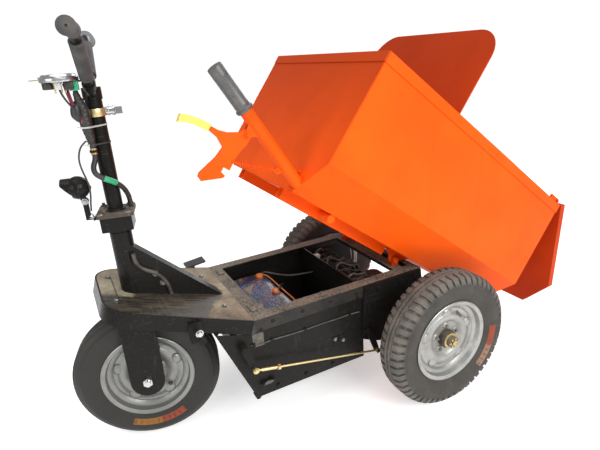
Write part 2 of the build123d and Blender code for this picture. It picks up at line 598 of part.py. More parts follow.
# hook plate: a head on the pivot, a beak whose mouth opens rearwards, and a lever arm forwards
hook_outline = [from_pivot(*p) for p in (
    (-13, 6), (-6, 14), (8, 12), (22, -6), (46, -20), (70, -27), (96, -28), (130, -32), (158, -41), (157, -50),
    (130, -41), (96, -38), (64, -44), (40, -58), (44, -88), (62, -140), (60, -150), (48, -156), (2, -124), (0, -117), (14, -113), (14, -100),
    (-4, -100), (-2, -60), (-12, -20))]
CATCH_X = PX - 12
CATCH_Z = PZ - 107
hook = slab_xz(hook_outline, HANDLE_Y - LATCH_SHEET / 2, HANDLE_Y + LATCH_SHEET / 2)
hook -= rod((PX, HANDLE_Y - 9, PZ), (PX, HANDLE_Y + 9, PZ), LATCH_PIN_R + RUN)
NODES["latch_hook"] = hook
sleeve_outline = [from_pivot(*p) for p in (
    (94, -24), (130, -27), (150, -32), (169, -40), (166, -59), (148, -50), (128, -45), (94, -42))]
sleeve = slab_xz(sleeve_outline, HANDLE_Y - 9, HANDLE_Y + 9)
sleeve -= slab_xz(hook_outline, HANDLE_Y - LATCH_SHEET / 2, HANDLE_Y + LATCH_SHEET / 2)
NODES["latch_sleeve"] = sleeve

# the spring lies beside the hook plate; its front end is hooked through the handle's small lug
spring_y = HANDLE_Y + 12
lug_eye = along_handle(spring_at, HANDLE_R + 6, spring_y)
hook_eye = (PX + 2, spring_y, PZ - 78)


def on_spring(f):
    return tuple(h + (e - h) * f for h, e in zip(hook_eye, lug_eye))


coils = joined(pipe(on_spring(0.14), on_spring(0.80), SPRING_R, SPRING_R - 2.5),
               rod(on_spring(0), on_spring(0.16), SPRING_WIRE_R),
               rod(on_spring(0.78), on_spring(1), SPRING_WIRE_R),
               pipe(on_spring(0.14), on_spring(0.16), SPRING_R - 1, SPRING_WIRE_R - 1),
               pipe(on_spring(0.78), on_spring(0.80), SPRING_R - 1, SPRING_WIRE_R - 1),
               rod((lug_eye[0], HANDLE_Y - 6, lug_eye[2]), (lug_eye[0], spring_y, lug_eye[2]), SPRING_WIRE_R),
               rod((hook_eye[0], HANDLE_Y + LATCH_SHEET / 2 + 0.5, hook_eye[2]), hook_eye, SPRING_WIRE_R))
NODES["latch_spring"] = coils

for name in ("bucket_shell", "bucket_frame", "bucket_guard", "hinge_pins", "dump_handle", "dump_grip",
             "latch_hook", "latch_sleeve", "latch_spring"):
    NODES[name] = tipped(NODES[name])

# catch bar that the hook takes when the bucket is down
rim_half_at = FRAME_HALF - (FRAME_HALF - DECK_NOSE_HALF) * ((CATCH_X - FRAME_FRONT)
                                                           / math.cos(math.radians(DECK_SLOPE))) / DECK_LENGTH
catch_top = deck_z(CATCH_X) - 12
catch = joined(box(CATCH_X - 16, CATCH_X + 22, rim_half_at + 3, rim_half_at + 9, CATCH_Z - 30, catch_top),
               rod((CATCH_X, rim_half_at + 3, CATCH_Z), (CATCH_X, HANDLE_Y + 12, CATCH_Z), CATCH_R),
               rod((CATCH_X, HANDLE_Y + 9, CATCH_Z), (CATCH_X, HANDLE_Y + 15, CATCH_Z), 11),
               box(CATCH_X - 16, CATCH_X + 22, rim_half_at - 8, rim_half_at + 9, catch_top - 24, catch_top - 4))
NODES["latch_catch"] = catch - deck_slab(0, 1, -DECK_RIM_DEPTH - 1)

# ---- steering, drawn straight ahead and then turned ----
WX = WHEELBASE
crown_low = CROWN_TOP - CROWN_THICK
leg_out = FORK_GAP_HALF + FORK_THICK
crown = box(WX - FORK_WIDTH / 2, WX + FORK_WIDTH / 2, -leg_out, leg_out, crown_low, CROWN_TOP)
blade = joined(box(WX - FORK_WIDTH / 2, WX + FORK_WIDTH / 2, FORK_GAP_HALF, leg_out, FRONT_TYRE_R, CROWN_TOP),
               rod((WX, FORK_GAP_HALF, FRONT_TYRE_R), (WX, leg_out, FRONT_TYRE_R), FORK_WIDTH / 2))
blade -= rod((WX, 0, FRONT_TYRE_R), (WX, 100, FRONT_TYRE_R), FRONT_AXLE_R)
NODES["fork"] = joined(crown, blade, mirrored(blade))
axle_end = leg_out + 12
nut = extrude(Plane(origin=(WX, leg_out, FRONT_TYRE_R), z_dir=(0, 1, 0)) * RegularPolygon(15, 6), amount=9)
front_axle = joined(rod((WX, -axle_end - 4, FRONT_TYRE_R), (WX, axle_end + 4, FRONT_TYRE_R), FRONT_AXLE_R),
                    nut, mirrored(nut))
NODES["front_axle"] = front_axle
stem = joined(rod((WX, 0, CROWN_TOP), (WX, 0, FLANGE_BOTTOM), STEM_R),
              pipe((WX, 0, CROWN_TOP), (WX, 0, HEAD_BOTTOM - SEAT), HEAD_R - 3, STEM_R - 1),
              pipe((WX, 0, HEAD_TOP + SEAT), (WX, 0, BLOCK_BOTTOM), HEAD_R - 2, STEM_R - 1))
NODES["steering_stem"] = stem
half = BLOCK_SIZE / 2
block = box(WX - half, WX + half, -half, half, BLOCK_BOTTOM, FLANGE_BOTTOM)
block = fillet(block.edges().filter_by(Axis.Z), 6)
NODES["column_block"] = block - rod((WX, 0, BLOCK_BOTTOM - 5), (WX, 0, FLANGE_BOTTOM + 5), STEM_R)
half = FLANGE_SIZE / 2
FLANGE_TOP = FLANGE_BOTTOM + FLANGE_THICK
flange_plate = box(WX - half, WX + half, -half, half, FLANGE_BOTTOM, FLANGE_TOP)
flange_plate = fillet(flange_plate.edges().filter_by(Axis.Z), 8)
bolt_at = 36.0
for sx in (-1, 1):
    for sy in (-1, 1):
        at = (WX + sx * bolt_at, sy * bolt_at, FLANGE_TOP)
        flange_plate += extrude(Plane(origin=at, z_dir=(0, 0, 1)) * RegularPolygon(8.5, 6), amount=7)
        flange_plate += rod(at, (at[0], at[1], FLANGE_TOP + 13), 4.5)
NODES["column_flange"] = flange_plate
column = pipe((WX, 0, FLANGE_TOP), (WX, 0, COLUMN_TOP), COLUMN_R, COLUMN_R - 3)
weld = revolve(make_face(Polyline((WX + COLUMN_R, 0, FLANGE_TOP), (WX + COLUMN_R + 6, 0, FLANGE_TOP),
                                  (WX + COLUMN_R, 0, FLANGE_TOP + 6), close=True)),
               axis=Axis((WX, 0, 0), (0, 0, 1)))
clamp_height = 30.0
NODES["steering_column"] = joined(column, weld)

bend_y = 200.0
bar_line = [(WX, BAR_HALF, BAR_HEIGHT), (WX, bend_y, BAR_HEIGHT), (WX, 0, COLUMN_TOP),
            (WX, -bend_y, BAR_HEIGHT), (WX, -BAR_HALF, BAR_HEIGHT)]
bar = swept(bar_line, [60, 45, 60], BAR_R)
clamp = rod((WX, 0, COLUMN_TOP), (WX, 0, COLUMN_TOP + clamp_height), COLUMN_R + 3)
NODES["handlebar"] = joined(bar, clamp)
riser = Vector(0, bend_y, BAR_HEIGHT - COLUMN_TOP).normalized()


def on_riser(y, side=1):
    return (WX, side * y, COLUMN_TOP + y * riser.Z / riser.Y)


SLEEVE_R = 17.0
sleeves = [pipe(on_riser(72, s), on_riser(176, s), SLEEVE_R, BAR_R) for s in (1, -1)]
NODES["bar_sleeves"] = joined(*sleeves)
grip_in = BAR_HALF - GRIP_LENGTH
left = joined(pipe((WX, grip_in, BAR_HEIGHT), (WX, BAR_HALF, BAR_HEIGHT), GRIP_R, BAR_R),
              rod((WX, BAR_HALF, BAR_HEIGHT), (WX, BAR_HALF + 5, BAR_HEIGHT), GRIP_R),
              pipe((WX, BAR_HALF - 8, BAR_HEIGHT), (WX, BAR_HALF + 3, BAR_HEIGHT), GRIP_R + 5, GRIP_R - 1),
              pipe((WX, grip_in, BAR_HEIGHT), (WX, grip_in + 6, BAR_HEIGHT), GRIP_R + 3, GRIP_R - 1))
NODES["grip_left"] = left
case_in = grip_in + 2
case_out = case_in + 26
throttle_case = pipe((WX, -case_in, BAR_HEIGHT), (WX, -case_out, BAR_HEIGHT), 23, BAR_R)
end_cap = rod((WX, -BAR_HALF, BAR_HEIGHT), (WX, -BAR_HALF - 7, BAR_HEIGHT), GRIP_R + 4)
NODES["throttle_case"] = joined(throttle_case, end_cap)
NODES["grip_right"] = pipe((WX, -case_out - SEAT, BAR_HEIGHT), (WX, -BAR_HALF + SEAT, BAR_HEIGHT),
                           GRIP_R, BAR_R + RUN)

gauge_at = (WX + 62.0, 67.0)
GAUGE_R = 44.0
gauge_low = 1101.0
gauge = joined(rod((*gauge_at, gauge_low), (*gauge_at, gauge_low + 12), GAUGE_R),
               rod((*gauge_at, gauge_low + 12), (*gauge_at, gauge_low + 18), GAUGE_R - 5))
gauge = fillet(gauge.edges().filter_by(GeomType.CIRCLE).sort_by(Axis.Z)[-1], 4)
pot = rod((gauge_at[0] + 26, gauge_at[1] + 4, gauge_low - 16), (gauge_at[0] + 26, gauge_at[1] + 4, gauge_low), 13)
plug = box(gauge_at[0] - 3, gauge_at[0] + 11, gauge_at[1] - 6, gauge_at[1] + 10, gauge_low - 18, gauge_low)
plug_two = box(gauge_at[0] - 26, gauge_at[0] - 8, gauge_at[1] + 6, gauge_at[1] + 18, gauge_low - 20, gauge_low)
lever = box(gauge_at[0] + GAUGE_R - 3, gauge_at[0] + 64, gauge_at[1] + 6, gauge_at[1] + 14, gauge_low + 6, gauge_low + 8)
ring_from = on_riser(40)
ring_to = on_riser(54)
strap = box(WX + 4, gauge_at[0] - 12, 42, 56, gauge_low - 4, gauge_low)
bracket = joined(pipe(ring_from, ring_to, BAR_R + 4, BAR_R), strap) - rod(on_riser(20), on_riser(90), BAR_R)
NODES["gauge_case"] = joined(gauge, pot, plug, plug_two, lever)
NODES["gauge_bracket"] = bracket

clamp_low = 1008.0
lock_z = 1018.0
lock = joined(pipe((WX, 0, clamp_low), (WX, 0, clamp_low + 20), COLUMN_R + 5, COLUMN_R),
              rod((WX - COLUMN_R - 2, -4, lock_z), (WX - COLUMN_R - 26, -4, lock_z), 10)
              - rod((WX, 0, 900), (WX, 0, COLUMN_TOP), COLUMN_R),
              pipe((WX - COLUMN_R - 24, -4, lock_z), (WX - COLUMN_R - 28, -4, lock_z), 12, 4))
lock -= rod((WX - COLUMN_R - 29, -4, lock_z), (WX - COLUMN_R - 16, -4, lock_z), 3.05)
NODES["key_switch"] = lock
key_x = WX - COLUMN_R - 28 - SEAT
key = joined(rod((key_x, -4, lock_z), (key_x + 11, -4, lock_z), 3),
             box(key_x - 16, key_x, -5, -3, lock_z - 9, lock_z + 9))
NODES["ignition_key"] = key

# taped wiring bundle, its ties and the leads that leave it
bundle_rings = [(28, 54, 1076, 6), (27, 47, 1058, 10), (24, 38, 1030, 16), (22, 34, 992, 15.5),
                (20, 30, 955, 11.5), (19, 28, 932, 9)]
bundle = None
for (ax, ay, az, ar), (bx, by, bz, br) in zip(bundle_rings, bundle_rings[1:]):
    part = loft([Plane(origin=(WX + ax, ay, az)) * Circle(ar), Plane(origin=(WX + bx, by, bz)) * Circle(br)])
    bundle = part if bundle is None else bundle + part
NODES["wiring_bundle"] = bundle


def tie(z, x, y, r, high=4.0):
    """A flat band pulled round the column and the bundle beside it."""
    def hull(extra):
        a = Pos(WX, 0, z) * Circle(COLUMN_R + extra)
        b = Pos(WX + x, y, z) * Circle(r + extra)
        return extrude(make_hull([*a.edges(), *b.edges()]), amount=high)
    return hull(1.6) - hull(0.4)


ties = [tie(984, 21.8, 33.5, 15), tie(938, 19.3, 28.6, 10.2)]
NODES["cable_ties"] = joined(*ties)
gland = joined(rod((WX + 19, 28, 914), (WX + 19, 28, 932), 8.5), rod((WX + 19, 28, 920), (WX + 19, 28, 926), 11))
NODES["conduit_gland"] = gland
CONDUIT_R = 7.0
conduit_route = [(19, 28, 913), (20, 29, 900), (28, 37, 884), (26, 45, 868), (12, 48, 856), (-5, 43, 846),
                 (-21, 28, 832), (-32, 10, 814), (-38, -5, 793), (-40, -12, 772), (-40, -13, FLANGE_TOP + 0.5)]
NODES["column_conduit"] = lead("column_conduit", [(WX + a, b, c) for a, b, c in conduit_route], CONDUIT_R)
lamp_route = [(30.5, 38, 952), (43, 46, 944), (52, 53, 925), (55, 56, 903), (52, 56, 880), (46, 58, 857),
              (43, 59, 834), (45, 59, 811), (50, 58, 790), (52, 55, 772)]
NODES["lamp_wire"] = lead("lamp_wire", [(WX + a, b, c) for a, b, c in lamp_route], 2.2)

# headlamp on a bent strap at the front left corner of the flange
LAMP_X = 74.0
LAMP_Y = 46.0
LAMP_Z = 836.0
LAMP_R = 30.0
hinge_z = LAMP_Z - LAMP_R - 8
hinge_x = WX + LAMP_X - 10
foot_low = FLANGE_TOP
lamp_foot = joined(box(WX + 49.5, hinge_x + 7, LAMP_Y - 10, LAMP_Y + 4, foot_low - 6, foot_low - 2),
                   box(WX + 49, WX + 53, LAMP_Y - 10, LAMP_Y + 4, FLANGE_BOTTOM, foot_low - 2),
                   box(hinge_x - 7, hinge_x + 7, LAMP_Y - 2, LAMP_Y + 2, foot_low - 6, hinge_z),
                   rod((hinge_x, LAMP_Y - 2, hinge_z), (hinge_x, LAMP_Y + 2, hinge_z), 7))
lamp_foot -= rod((hinge_x, 0, hinge_z), (hinge_x, 100, hinge_z), 3 + RUN)
NODES["lamp_bracket"] = lamp_foot
lamp_centre = (WX + LAMP_X, LAMP_Y, LAMP_Z)
OPENING_X = 14.0
LAMP_WALL = 2.5


def bowl_profile(radius, opening):
    """Half of the lamp's round shell, from its rear pole to its open front."""
    last = math.degrees(math.acos(opening / radius))
    steps = 12
    angles = [180 - (180 - last) * k / steps for k in range(steps + 1)]
    return [(lamp_centre[0] + radius * math.cos(math.radians(a)), LAMP_Y,
             LAMP_Z + radius * math.sin(math.radians(a))) for a in angles]


bowl_face = make_face(Polyline(*bowl_profile(LAMP_R, OPENING_X), *bowl_profile(LAMP_R - LAMP_WALL, OPENING_X)[::-1],
                               close=True))
bowl_axis = Axis(lamp_centre, (1, 0, 0))
globe = revolve(bowl_face, axis=bowl_axis)
lens_r = math.sqrt((LAMP_R - LAMP_WALL)**2 - 11**2) - SEAT
lens = rod((lamp_centre[0] + 6, LAMP_Y, LAMP_Z), (lamp_centre[0] + 11, LAMP_Y, LAMP_Z), lens_r)
visor_r = math.sqrt(LAMP_R**2 - OPENING_X**2)
visor = pipe((lamp_centre[0] + OPENING_X, LAMP_Y, LAMP_Z), (lamp_centre[0] + 38, LAMP_Y, LAMP_Z), visor_r,
             visor_r - LAMP_WALL)
visor_cut = slab_xz([(lamp_centre[0] + 14, LAMP_Z - 40), (lamp_centre[0] + 14, LAMP_Z - 14),
                     (lamp_centre[0] + 40, LAMP_Z + 16), (lamp_centre[0] + 40, LAMP_Z - 40)], 0, 100)
cheeks = None
for y0 in (LAMP_Y - 2 - SEAT - 3, LAMP_Y + 2 + SEAT):
    cheek_pair = joined(slab_xz([(hinge_x - 7, hinge_z), (hinge_x + 7, hinge_z), (hinge_x + 14, LAMP_Z - LAMP_R + 8),
                                 (hinge_x - 2, LAMP_Z - LAMP_R + 8)], y0, y0 + 3),
                        rod((hinge_x, y0, hinge_z), (hinge_x, y0 + 3, hinge_z), 7))
    cheeks = cheek_pair if cheeks is None else cheeks + cheek_pair
hinge_bolt = joined(rod((hinge_x, LAMP_Y - 9, hinge_z), (hinge_x, LAMP_Y + 9, hinge_z), 3),
                    rod((hinge_x, LAMP_Y + 5.3, hinge_z), (hinge_x, LAMP_Y + 9, hinge_z), 5.5),
                    rod((hinge_x, LAMP_Y - 9, hinge_z), (hinge_x, LAMP_Y - 5.3, hinge_z), 5.5))
cheek_trim = rod((lamp_centre[0] - 12, LAMP_Y, LAMP_Z), (lamp_centre[0] + 12, LAMP_Y, LAMP_Z), LAMP_R - 5)
NODES["headlamp"] = joined(globe, cheeks - cheek_trim, visor - visor_cut, hinge_bolt)
NODES["lamp_lens"] = lens


def steered(shape, extra=0.0):
    return shape.rotate(Axis((WX, 0, 0), (0, 0, 1)), -STEER_REST + extra)


BAR_NODES = ("handlebar", "bar_sleeves", "grip_left", "throttle_case", "grip_right", "gauge_case", "gauge_bracket")
FORK_NODES = ("fork", "front_axle", "front_tyre", "front_rim", "front_hub", "steering_stem", "column_block",
              "column_flange", "steering_column", "key_switch", "ignition_key", "wiring_bundle", "cable_ties",
              "conduit_gland", "column_conduit", "lamp_wire", "lamp_bracket", "headlamp", "lamp_lens")
for name in BAR_NODES:
    NODES[name] = steered(NODES[name], BAR_TWIST)
for name in FORK_NODES:
    NODES[name] = steered(NODES[name])

# ---- brake: cross shaft, pedal, crank, rod and arm, a parallelogram in side view ----
crank_in = FRAME_HALF + 16
crank_out = crank_in + 6
pedal_y = -FRAME_HALF - 48


def arm_plate(x, z, y0, y1, radius=12.0):
    reach = math.hypot(CRANK_DX, CRANK_DZ)
    nx = -CRANK_DZ / reach
    nz = CRANK_DX / reach
    tip = 9.0
    outline = [(x + nx * radius, z + nz * radius), (x + CRANK_DX + nx * tip, z + CRANK_DZ + nz * tip),
               (x + CRANK_DX - nx * tip, z + CRANK_DZ - nz * tip), (x - nx * radius, z - nz * radius)]
    return joined(slab_xz(outline, y0, y1), rod((x, y0, z), (x, y1, z), radius),
                  rod((x + CRANK_DX, y0, z + CRANK_DZ), (x + CRANK_DX, y1, z + CRANK_DZ), tip))


eye_out = crank_out + SEAT + 9
pin_end = eye_out + 4
shaft = joined(rod((BRAKE_X, pedal_y - 6, BRAKE_Z), (BRAKE_X, crank_out + 3, BRAKE_Z), BRAKE_R),
               rod((BRAKE_X, box_half + 1, BRAKE_Z), (BRAKE_X, box_half + 7, BRAKE_Z), BRAKE_R + 5),
               rod((BRAKE_X, -box_half - 7, BRAKE_Z), (BRAKE_X, -box_half - 1, BRAKE_Z), BRAKE_R + 5),
               arm_plate(BRAKE_X, BRAKE_Z, crank_in, crank_out),
               rod((BRAKE_X + CRANK_DX, crank_in, BRAKE_Z + CRANK_DZ), (BRAKE_X + CRANK_DX, pin_end, BRAKE_Z + CRANK_DZ),
                   BRAKE_PIN_R))
pedal_top = FRAME_TOP + 4
pedal_arm = slab_xz([(BRAKE_X - 11, BRAKE_Z), (BRAKE_X + 11, BRAKE_Z), (BRAKE_X + 8, pedal_top),
                     (BRAKE_X - 8, pedal_top)], pedal_y - 4, pedal_y + 4)
NODES["brake_shaft"] = joined(shaft, pedal_arm)
pad = slab_xz([(BRAKE_X - 46, pedal_top + 8), (BRAKE_X + 26, pedal_top), (BRAKE_X + 26, pedal_top + 7),
               (BRAKE_X - 46, pedal_top + 15)], pedal_y - 24, pedal_y + 24)
filler = slab_xz([(BRAKE_X - 8, pedal_top), (BRAKE_X + 8, pedal_top), (BRAKE_X + 8, pedal_top + 4),
                  (BRAKE_X - 8, pedal_top + 6)], pedal_y - 4, pedal_y + 4)
NODES["brake_pad"] = joined(pad, filler)
rod_y = crank_out + SEAT + 4.5
front_pin = (BRAKE_X + CRANK_DX, rod_y, BRAKE_Z + CRANK_DZ)
rear_pin = (ARM_X + CRANK_DX, rod_y, ARM_Z + CRANK_DZ)


def on_rod(d):
    run = math.hypot(front_pin[0] - rear_pin[0], front_pin[2] - rear_pin[2])
    f = d / run
    return (front_pin[0] + (rear_pin[0] - front_pin[0]) * f, rod_y, front_pin[2] + (rear_pin[2] - front_pin[2]) * f)


rod_run = math.hypot(front_pin[0] - rear_pin[0], front_pin[2] - rear_pin[2])
brake_rod = rod(on_rod(0), on_rod(rod_run), 3.5)
for centre_pin in (front_pin, rear_pin):
    brake_rod += rod((centre_pin[0], crank_out + SEAT, centre_pin[2]), (centre_pin[0], eye_out, centre_pin[2]), 9)
brake_rod += rod(on_rod(16), on_rod(66), 5.5)
brake_rod += extrude(Plane(origin=Vector(*on_rod(70)), z_dir=Vector(*on_rod(80)) - Vector(*on_rod(70)))
                     * RegularPolygon(9, 6), amount=9)
brake_rod -= rod((front_pin[0], 200, front_pin[2]), (front_pin[0], 300, front_pin[2]), BRAKE_PIN_R + RUN)
brake_rod -= rod((rear_pin[0], 200, rear_pin[2]), (rear_pin[0], 300, rear_pin[2]), BRAKE_PIN_R + ROD_PLAY)
NODES["brake_rod"] = brake_rod
ARM_STUB_R = 6.0
stub = joined(rod((ARM_X, CARRIER_OUT - 1, ARM_Z), (ARM_X, crank_out + 2, ARM_Z), ARM_STUB_R),
              rod((ARM_X, crank_out + SEAT, ARM_Z), (ARM_X, crank_out + 5, ARM_Z), ARM_STUB_R + 4),
              rod((ARM_X, CARRIER_OUT - 1, ARM_Z), (ARM_X, crank_in - SEAT, ARM_Z), ARM_STUB_R + 4))
NODES["axle_carriers"] = NODES["axle_carriers"] + stub
arm = joined(arm_plate(ARM_X, ARM_Z, crank_in, crank_out),
             rod((rear_pin[0], crank_in, rear_pin[2]), (rear_pin[0], pin_end, rear_pin[2]), BRAKE_PIN_R))
NODES["brake_arm"] = arm - rod((ARM_X, 200, ARM_Z), (ARM_X, 300, ARM_Z), ARM_STUB_R + RUN)

# ---- small fittings and fixed leads ----
WIRE_R = 2.0
wire_y = box_half + WIRE_R + 0.2
wire_route = [(606, 330), (574, 323), (538, 326), (482, 322), (424, 320), (366, 322), (308, 319), (262, 321),
              (224, 317)]
NODES["side_wire"] = lead("side_wire", [(a, wire_y, c) for a, c in wire_route], WIRE_R)
fittings = None
for cx, cz in ((596, 328.2), (538, 325.4), (424, 320.4), (262, 320.6)):
    clip = box(cx - 4, cx + 4, box_half, wire_y + WIRE_R + 1.4, cz - 6, cz + 6)
    clip -= box(cx - 5, cx + 5, box_half - 1, wire_y + WIRE_R + 0.3, cz - WIRE_R - 1.8, cz + WIRE_R + 1.8)
    fittings = clip if fittings is None else fittings + clip
hasp = joined(box(282, 326, box_half, box_half + 3, 228, 254), rod((289, box_half, 234), (289, box_half + 6, 234), 4),
              rod((319, box_half, 248), (319, box_half + 6, 248), 4), box(298, 310, box_half, box_half + 9, 236, 246))
bolt = joined(rod((540, box_half + 8, 190), (592, box_half + 8, 186), 3.5),
              box(546, 556, box_half, box_half + 13, 183, 196), box(574, 584, box_half, box_half + 13, 181, 194))
NODES["side_fittings"] = joined(fittings, hasp, bolt)
GUSSET_LEAD_R = 6.0
gy = gusset_half + GUSSET_LEAD_R + 0.4
gusset_route = [(858, gy + 3, 626), (857, gy + 2, 605), (850, gy, 584), (834, gy, 568), (814, gy, 556),
                (796, gy, 540), (783, gy, 518), (775, gy, 496), (772, gy, deck_z(772) + 3)]
NODES["gusset_conduit"] = lead("gusset_conduit", gusset_route, GUSSET_LEAD_R)

# pieces of one material that ride on the same body share a node
NODES["bar_grips"] = joined(NODES.pop("bar_sleeves"), NODES.pop("grip_left"))
NODES["steer_brackets"] = joined(NODES.pop("gauge_bracket"), NODES.pop("lamp_bracket"), NODES.pop("conduit_gland"))
NODES["bucket_frame"] = joined(NODES["bucket_frame"], NODES.pop("hinge_pins"))
NODES["axle_carriers"] = joined(NODES["axle_carriers"], NODES.pop("brake_backplates"))

# ---- everything moves to the centre of its footprint ----
whole = Compound(children=[Compound(children=list(shape.solids())) for shape in NODES.values()])
span = whole.bounding_box()
SHIFT_X = -(span.min.X + span.max.X) / 2
SHIFT_Y = -(span.min.Y + span.max.Y) / 2


def main():
    os.makedirs("parts", exist_ok=True)
    for name, shape in NODES.items():
        placed = Pos(SHIFT_X, SHIFT_Y, 0) * Compound(children=list(shape.solids()))
        export_step(placed, "parts/%s.step" % name)
    print("nodes", len(NODES), "shift", round(SHIFT_X, 3), round(SHIFT_Y, 3))
    print("size", [round(v, 2) for v in span.size])


if __name__ == "__main__":
    main()
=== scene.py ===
"""Battery power wheelbarrow: detailed pieces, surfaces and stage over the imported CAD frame."""
import json
import math
import random

import bmesh
import bpy
from bpy.props import FloatProperty, FloatVectorProperty, IntProperty, PointerProperty
from mathutils import Matrix, Vector, noise


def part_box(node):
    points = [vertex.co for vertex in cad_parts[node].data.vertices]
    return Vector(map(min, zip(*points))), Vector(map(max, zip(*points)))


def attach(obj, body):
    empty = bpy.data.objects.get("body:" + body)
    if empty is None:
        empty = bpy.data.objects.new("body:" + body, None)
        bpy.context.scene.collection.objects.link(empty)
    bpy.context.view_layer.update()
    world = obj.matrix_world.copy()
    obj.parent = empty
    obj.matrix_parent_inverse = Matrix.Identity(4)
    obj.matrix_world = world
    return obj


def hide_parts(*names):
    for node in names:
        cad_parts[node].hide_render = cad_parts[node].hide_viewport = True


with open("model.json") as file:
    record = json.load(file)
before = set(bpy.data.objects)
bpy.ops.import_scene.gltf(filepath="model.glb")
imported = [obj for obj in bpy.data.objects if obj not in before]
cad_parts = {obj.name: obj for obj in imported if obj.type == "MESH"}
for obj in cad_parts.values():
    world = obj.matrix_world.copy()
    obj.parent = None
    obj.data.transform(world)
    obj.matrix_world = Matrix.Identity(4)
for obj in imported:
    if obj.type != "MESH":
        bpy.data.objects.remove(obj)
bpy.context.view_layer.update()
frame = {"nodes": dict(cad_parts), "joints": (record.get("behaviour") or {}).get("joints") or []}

bl_info = {
    "name": "Power Wheelbarrow",
    "version": (1, 0, 0),
    "blender": (4, 5, 0),
    "location": "View3D > Sidebar > Wheelbarrow",
    "description": "Adds tyres, rims, wiring, paint and dust to a power wheelbarrow",
    "category": "Object",
}

JOINT = {joint["name"]: joint for joint in frame["joints"]}
NODE = frame["nodes"]
REAR_AXLE = Vector(JOINT["rear_wheel_left_spin"]["pos_m"])
STEER_LINE = Vector(JOINT["steer"]["pos_m"])
BUCKET_HINGE = Vector(JOINT["bucket_tip"]["pos_m"])
TIP_ANGLE = math.radians(JOINT["bucket_tip"]["range_deg"][1])


def heading(joint_name):
    """How far a steered joint's cross line is turned about the vertical."""
    line = JOINT[joint_name]["axis"]
    return -math.atan2(line[0], line[1])


def about(point, axis, angle):
    """A turn about a line through a point."""
    return Matrix.Translation(point) @ Matrix.Rotation(angle, 4, axis) @ Matrix.Translation(-Vector(point))


STEERED = about(STEER_LINE, "Z", heading("front_wheel_spin"))
BAR_TURNED = about(STEER_LINE, "Z", heading("throttle_twist"))
TIPPED = about(BUCKET_HINGE, "Y", -TIP_ANGLE)


def place(x, y, z):
    """Millimetres forward of the rear axle, to the left and up, as a point in the frame."""
    return Vector((REAR_AXLE.x + x / 1000, y / 1000, z / 1000))


def front(x, y, z):
    """Millimetres from the steering line, straight ahead."""
    return Vector((STEER_LINE.x + x / 1000, y / 1000, z / 1000))


# ---- settings ----
class WheelSettings(bpy.types.PropertyGroup):
    tread_pitches: IntProperty(name="Tread pitches", description="Tread blocks round a rear tyre",
                               default=52, min=24, max=120)
    groove: FloatProperty(name="Groove depth", description="Depth of the tread grooves",
                          default=0.006, min=0.001, max=0.012, unit="LENGTH")
    rubber: FloatVectorProperty(name="Rubber", description="Colour of the clean rubber", size=3,
                                subtype="COLOR", default=(0.026, 0.024, 0.022))
    rim: FloatVectorProperty(name="Rim paint", description="Colour of the silver rim paint", size=3,
                             subtype="COLOR", default=(0.40, 0.402, 0.385))


class PaintSettings(bpy.types.PropertyGroup):
    bucket: FloatVectorProperty(name="Bucket", description="Colour of the bucket's paint", size=3,
                                subtype="COLOR", default=(0.90, 0.098, 0.0025))
    gate: FloatVectorProperty(name="Tailgate", description="Colour of the tailgate's paint", size=3,
                              subtype="COLOR", default=(0.50, 0.046, 0.004))
    chassis: FloatVectorProperty(name="Chassis", description="Colour of the black paint", size=3,
                                 subtype="COLOR", default=(0.0085, 0.008, 0.0072))
    dust: FloatVectorProperty(name="Dust", description="Colour of the dried dust", size=3,
                              subtype="COLOR", default=(0.30, 0.25, 0.18))
    dust_share: FloatProperty(name="Dust", description="How much dust lies on the chassis",
                              default=0.5, min=0.0, max=1.0, subtype="FACTOR")


class StageSettings(bpy.types.PropertyGroup):
    lens: FloatProperty(name="Focal length", description="Focal length on a 36 mm wide sensor",
                        default=28.754, min=10.0, max=200.0, unit="CAMERA")
    brightness: FloatProperty(name="Brightness", description="Strength of the studio light",
                              default=1.0, min=0.1, max=4.0)


def settings():
    return bpy.context.scene.wheelbarrow


# ---- shader graph ----
class Field:
    """A socket that takes part in arithmetic; each operation adds a Math node."""

    def __init__(self, graph, socket):
        self.graph = graph
        self.socket = socket

    def math(self, operation, *others, clamp=False):
        values = [self, *others]
        return self.graph.node("ShaderNodeMath", {"operation": operation, "use_clamp": clamp},
                               {index: value for index, value in enumerate(values)})

    def __add__(self, other):
        return self.math("ADD", other)

    __radd__ = __add__

    def __sub__(self, other):
        return self.math("SUBTRACT", other)

    def __rsub__(self, other):
        return self.graph.node("ShaderNodeMath", {"operation": "SUBTRACT"}, {0: other, 1: self})

    def __mul__(self, other):
        return self.math("MULTIPLY", other)

    __rmul__ = __mul__

    def __truediv__(self, other):
        return self.math("DIVIDE", other)

    def __pow__(self, other):
        return self.math("POWER", other)

    def __neg__(self):
        return self * -1.0

    def above(self, low, high):
        """0 below low, 1 above high, with a straight slope between."""
        return ((self - low) / (high - low)).math("MAXIMUM", 0.0).math("MINIMUM", 1.0)

    def clamped(self):
        return self.math("MAXIMUM", 0.0).math("MINIMUM", 1.0)


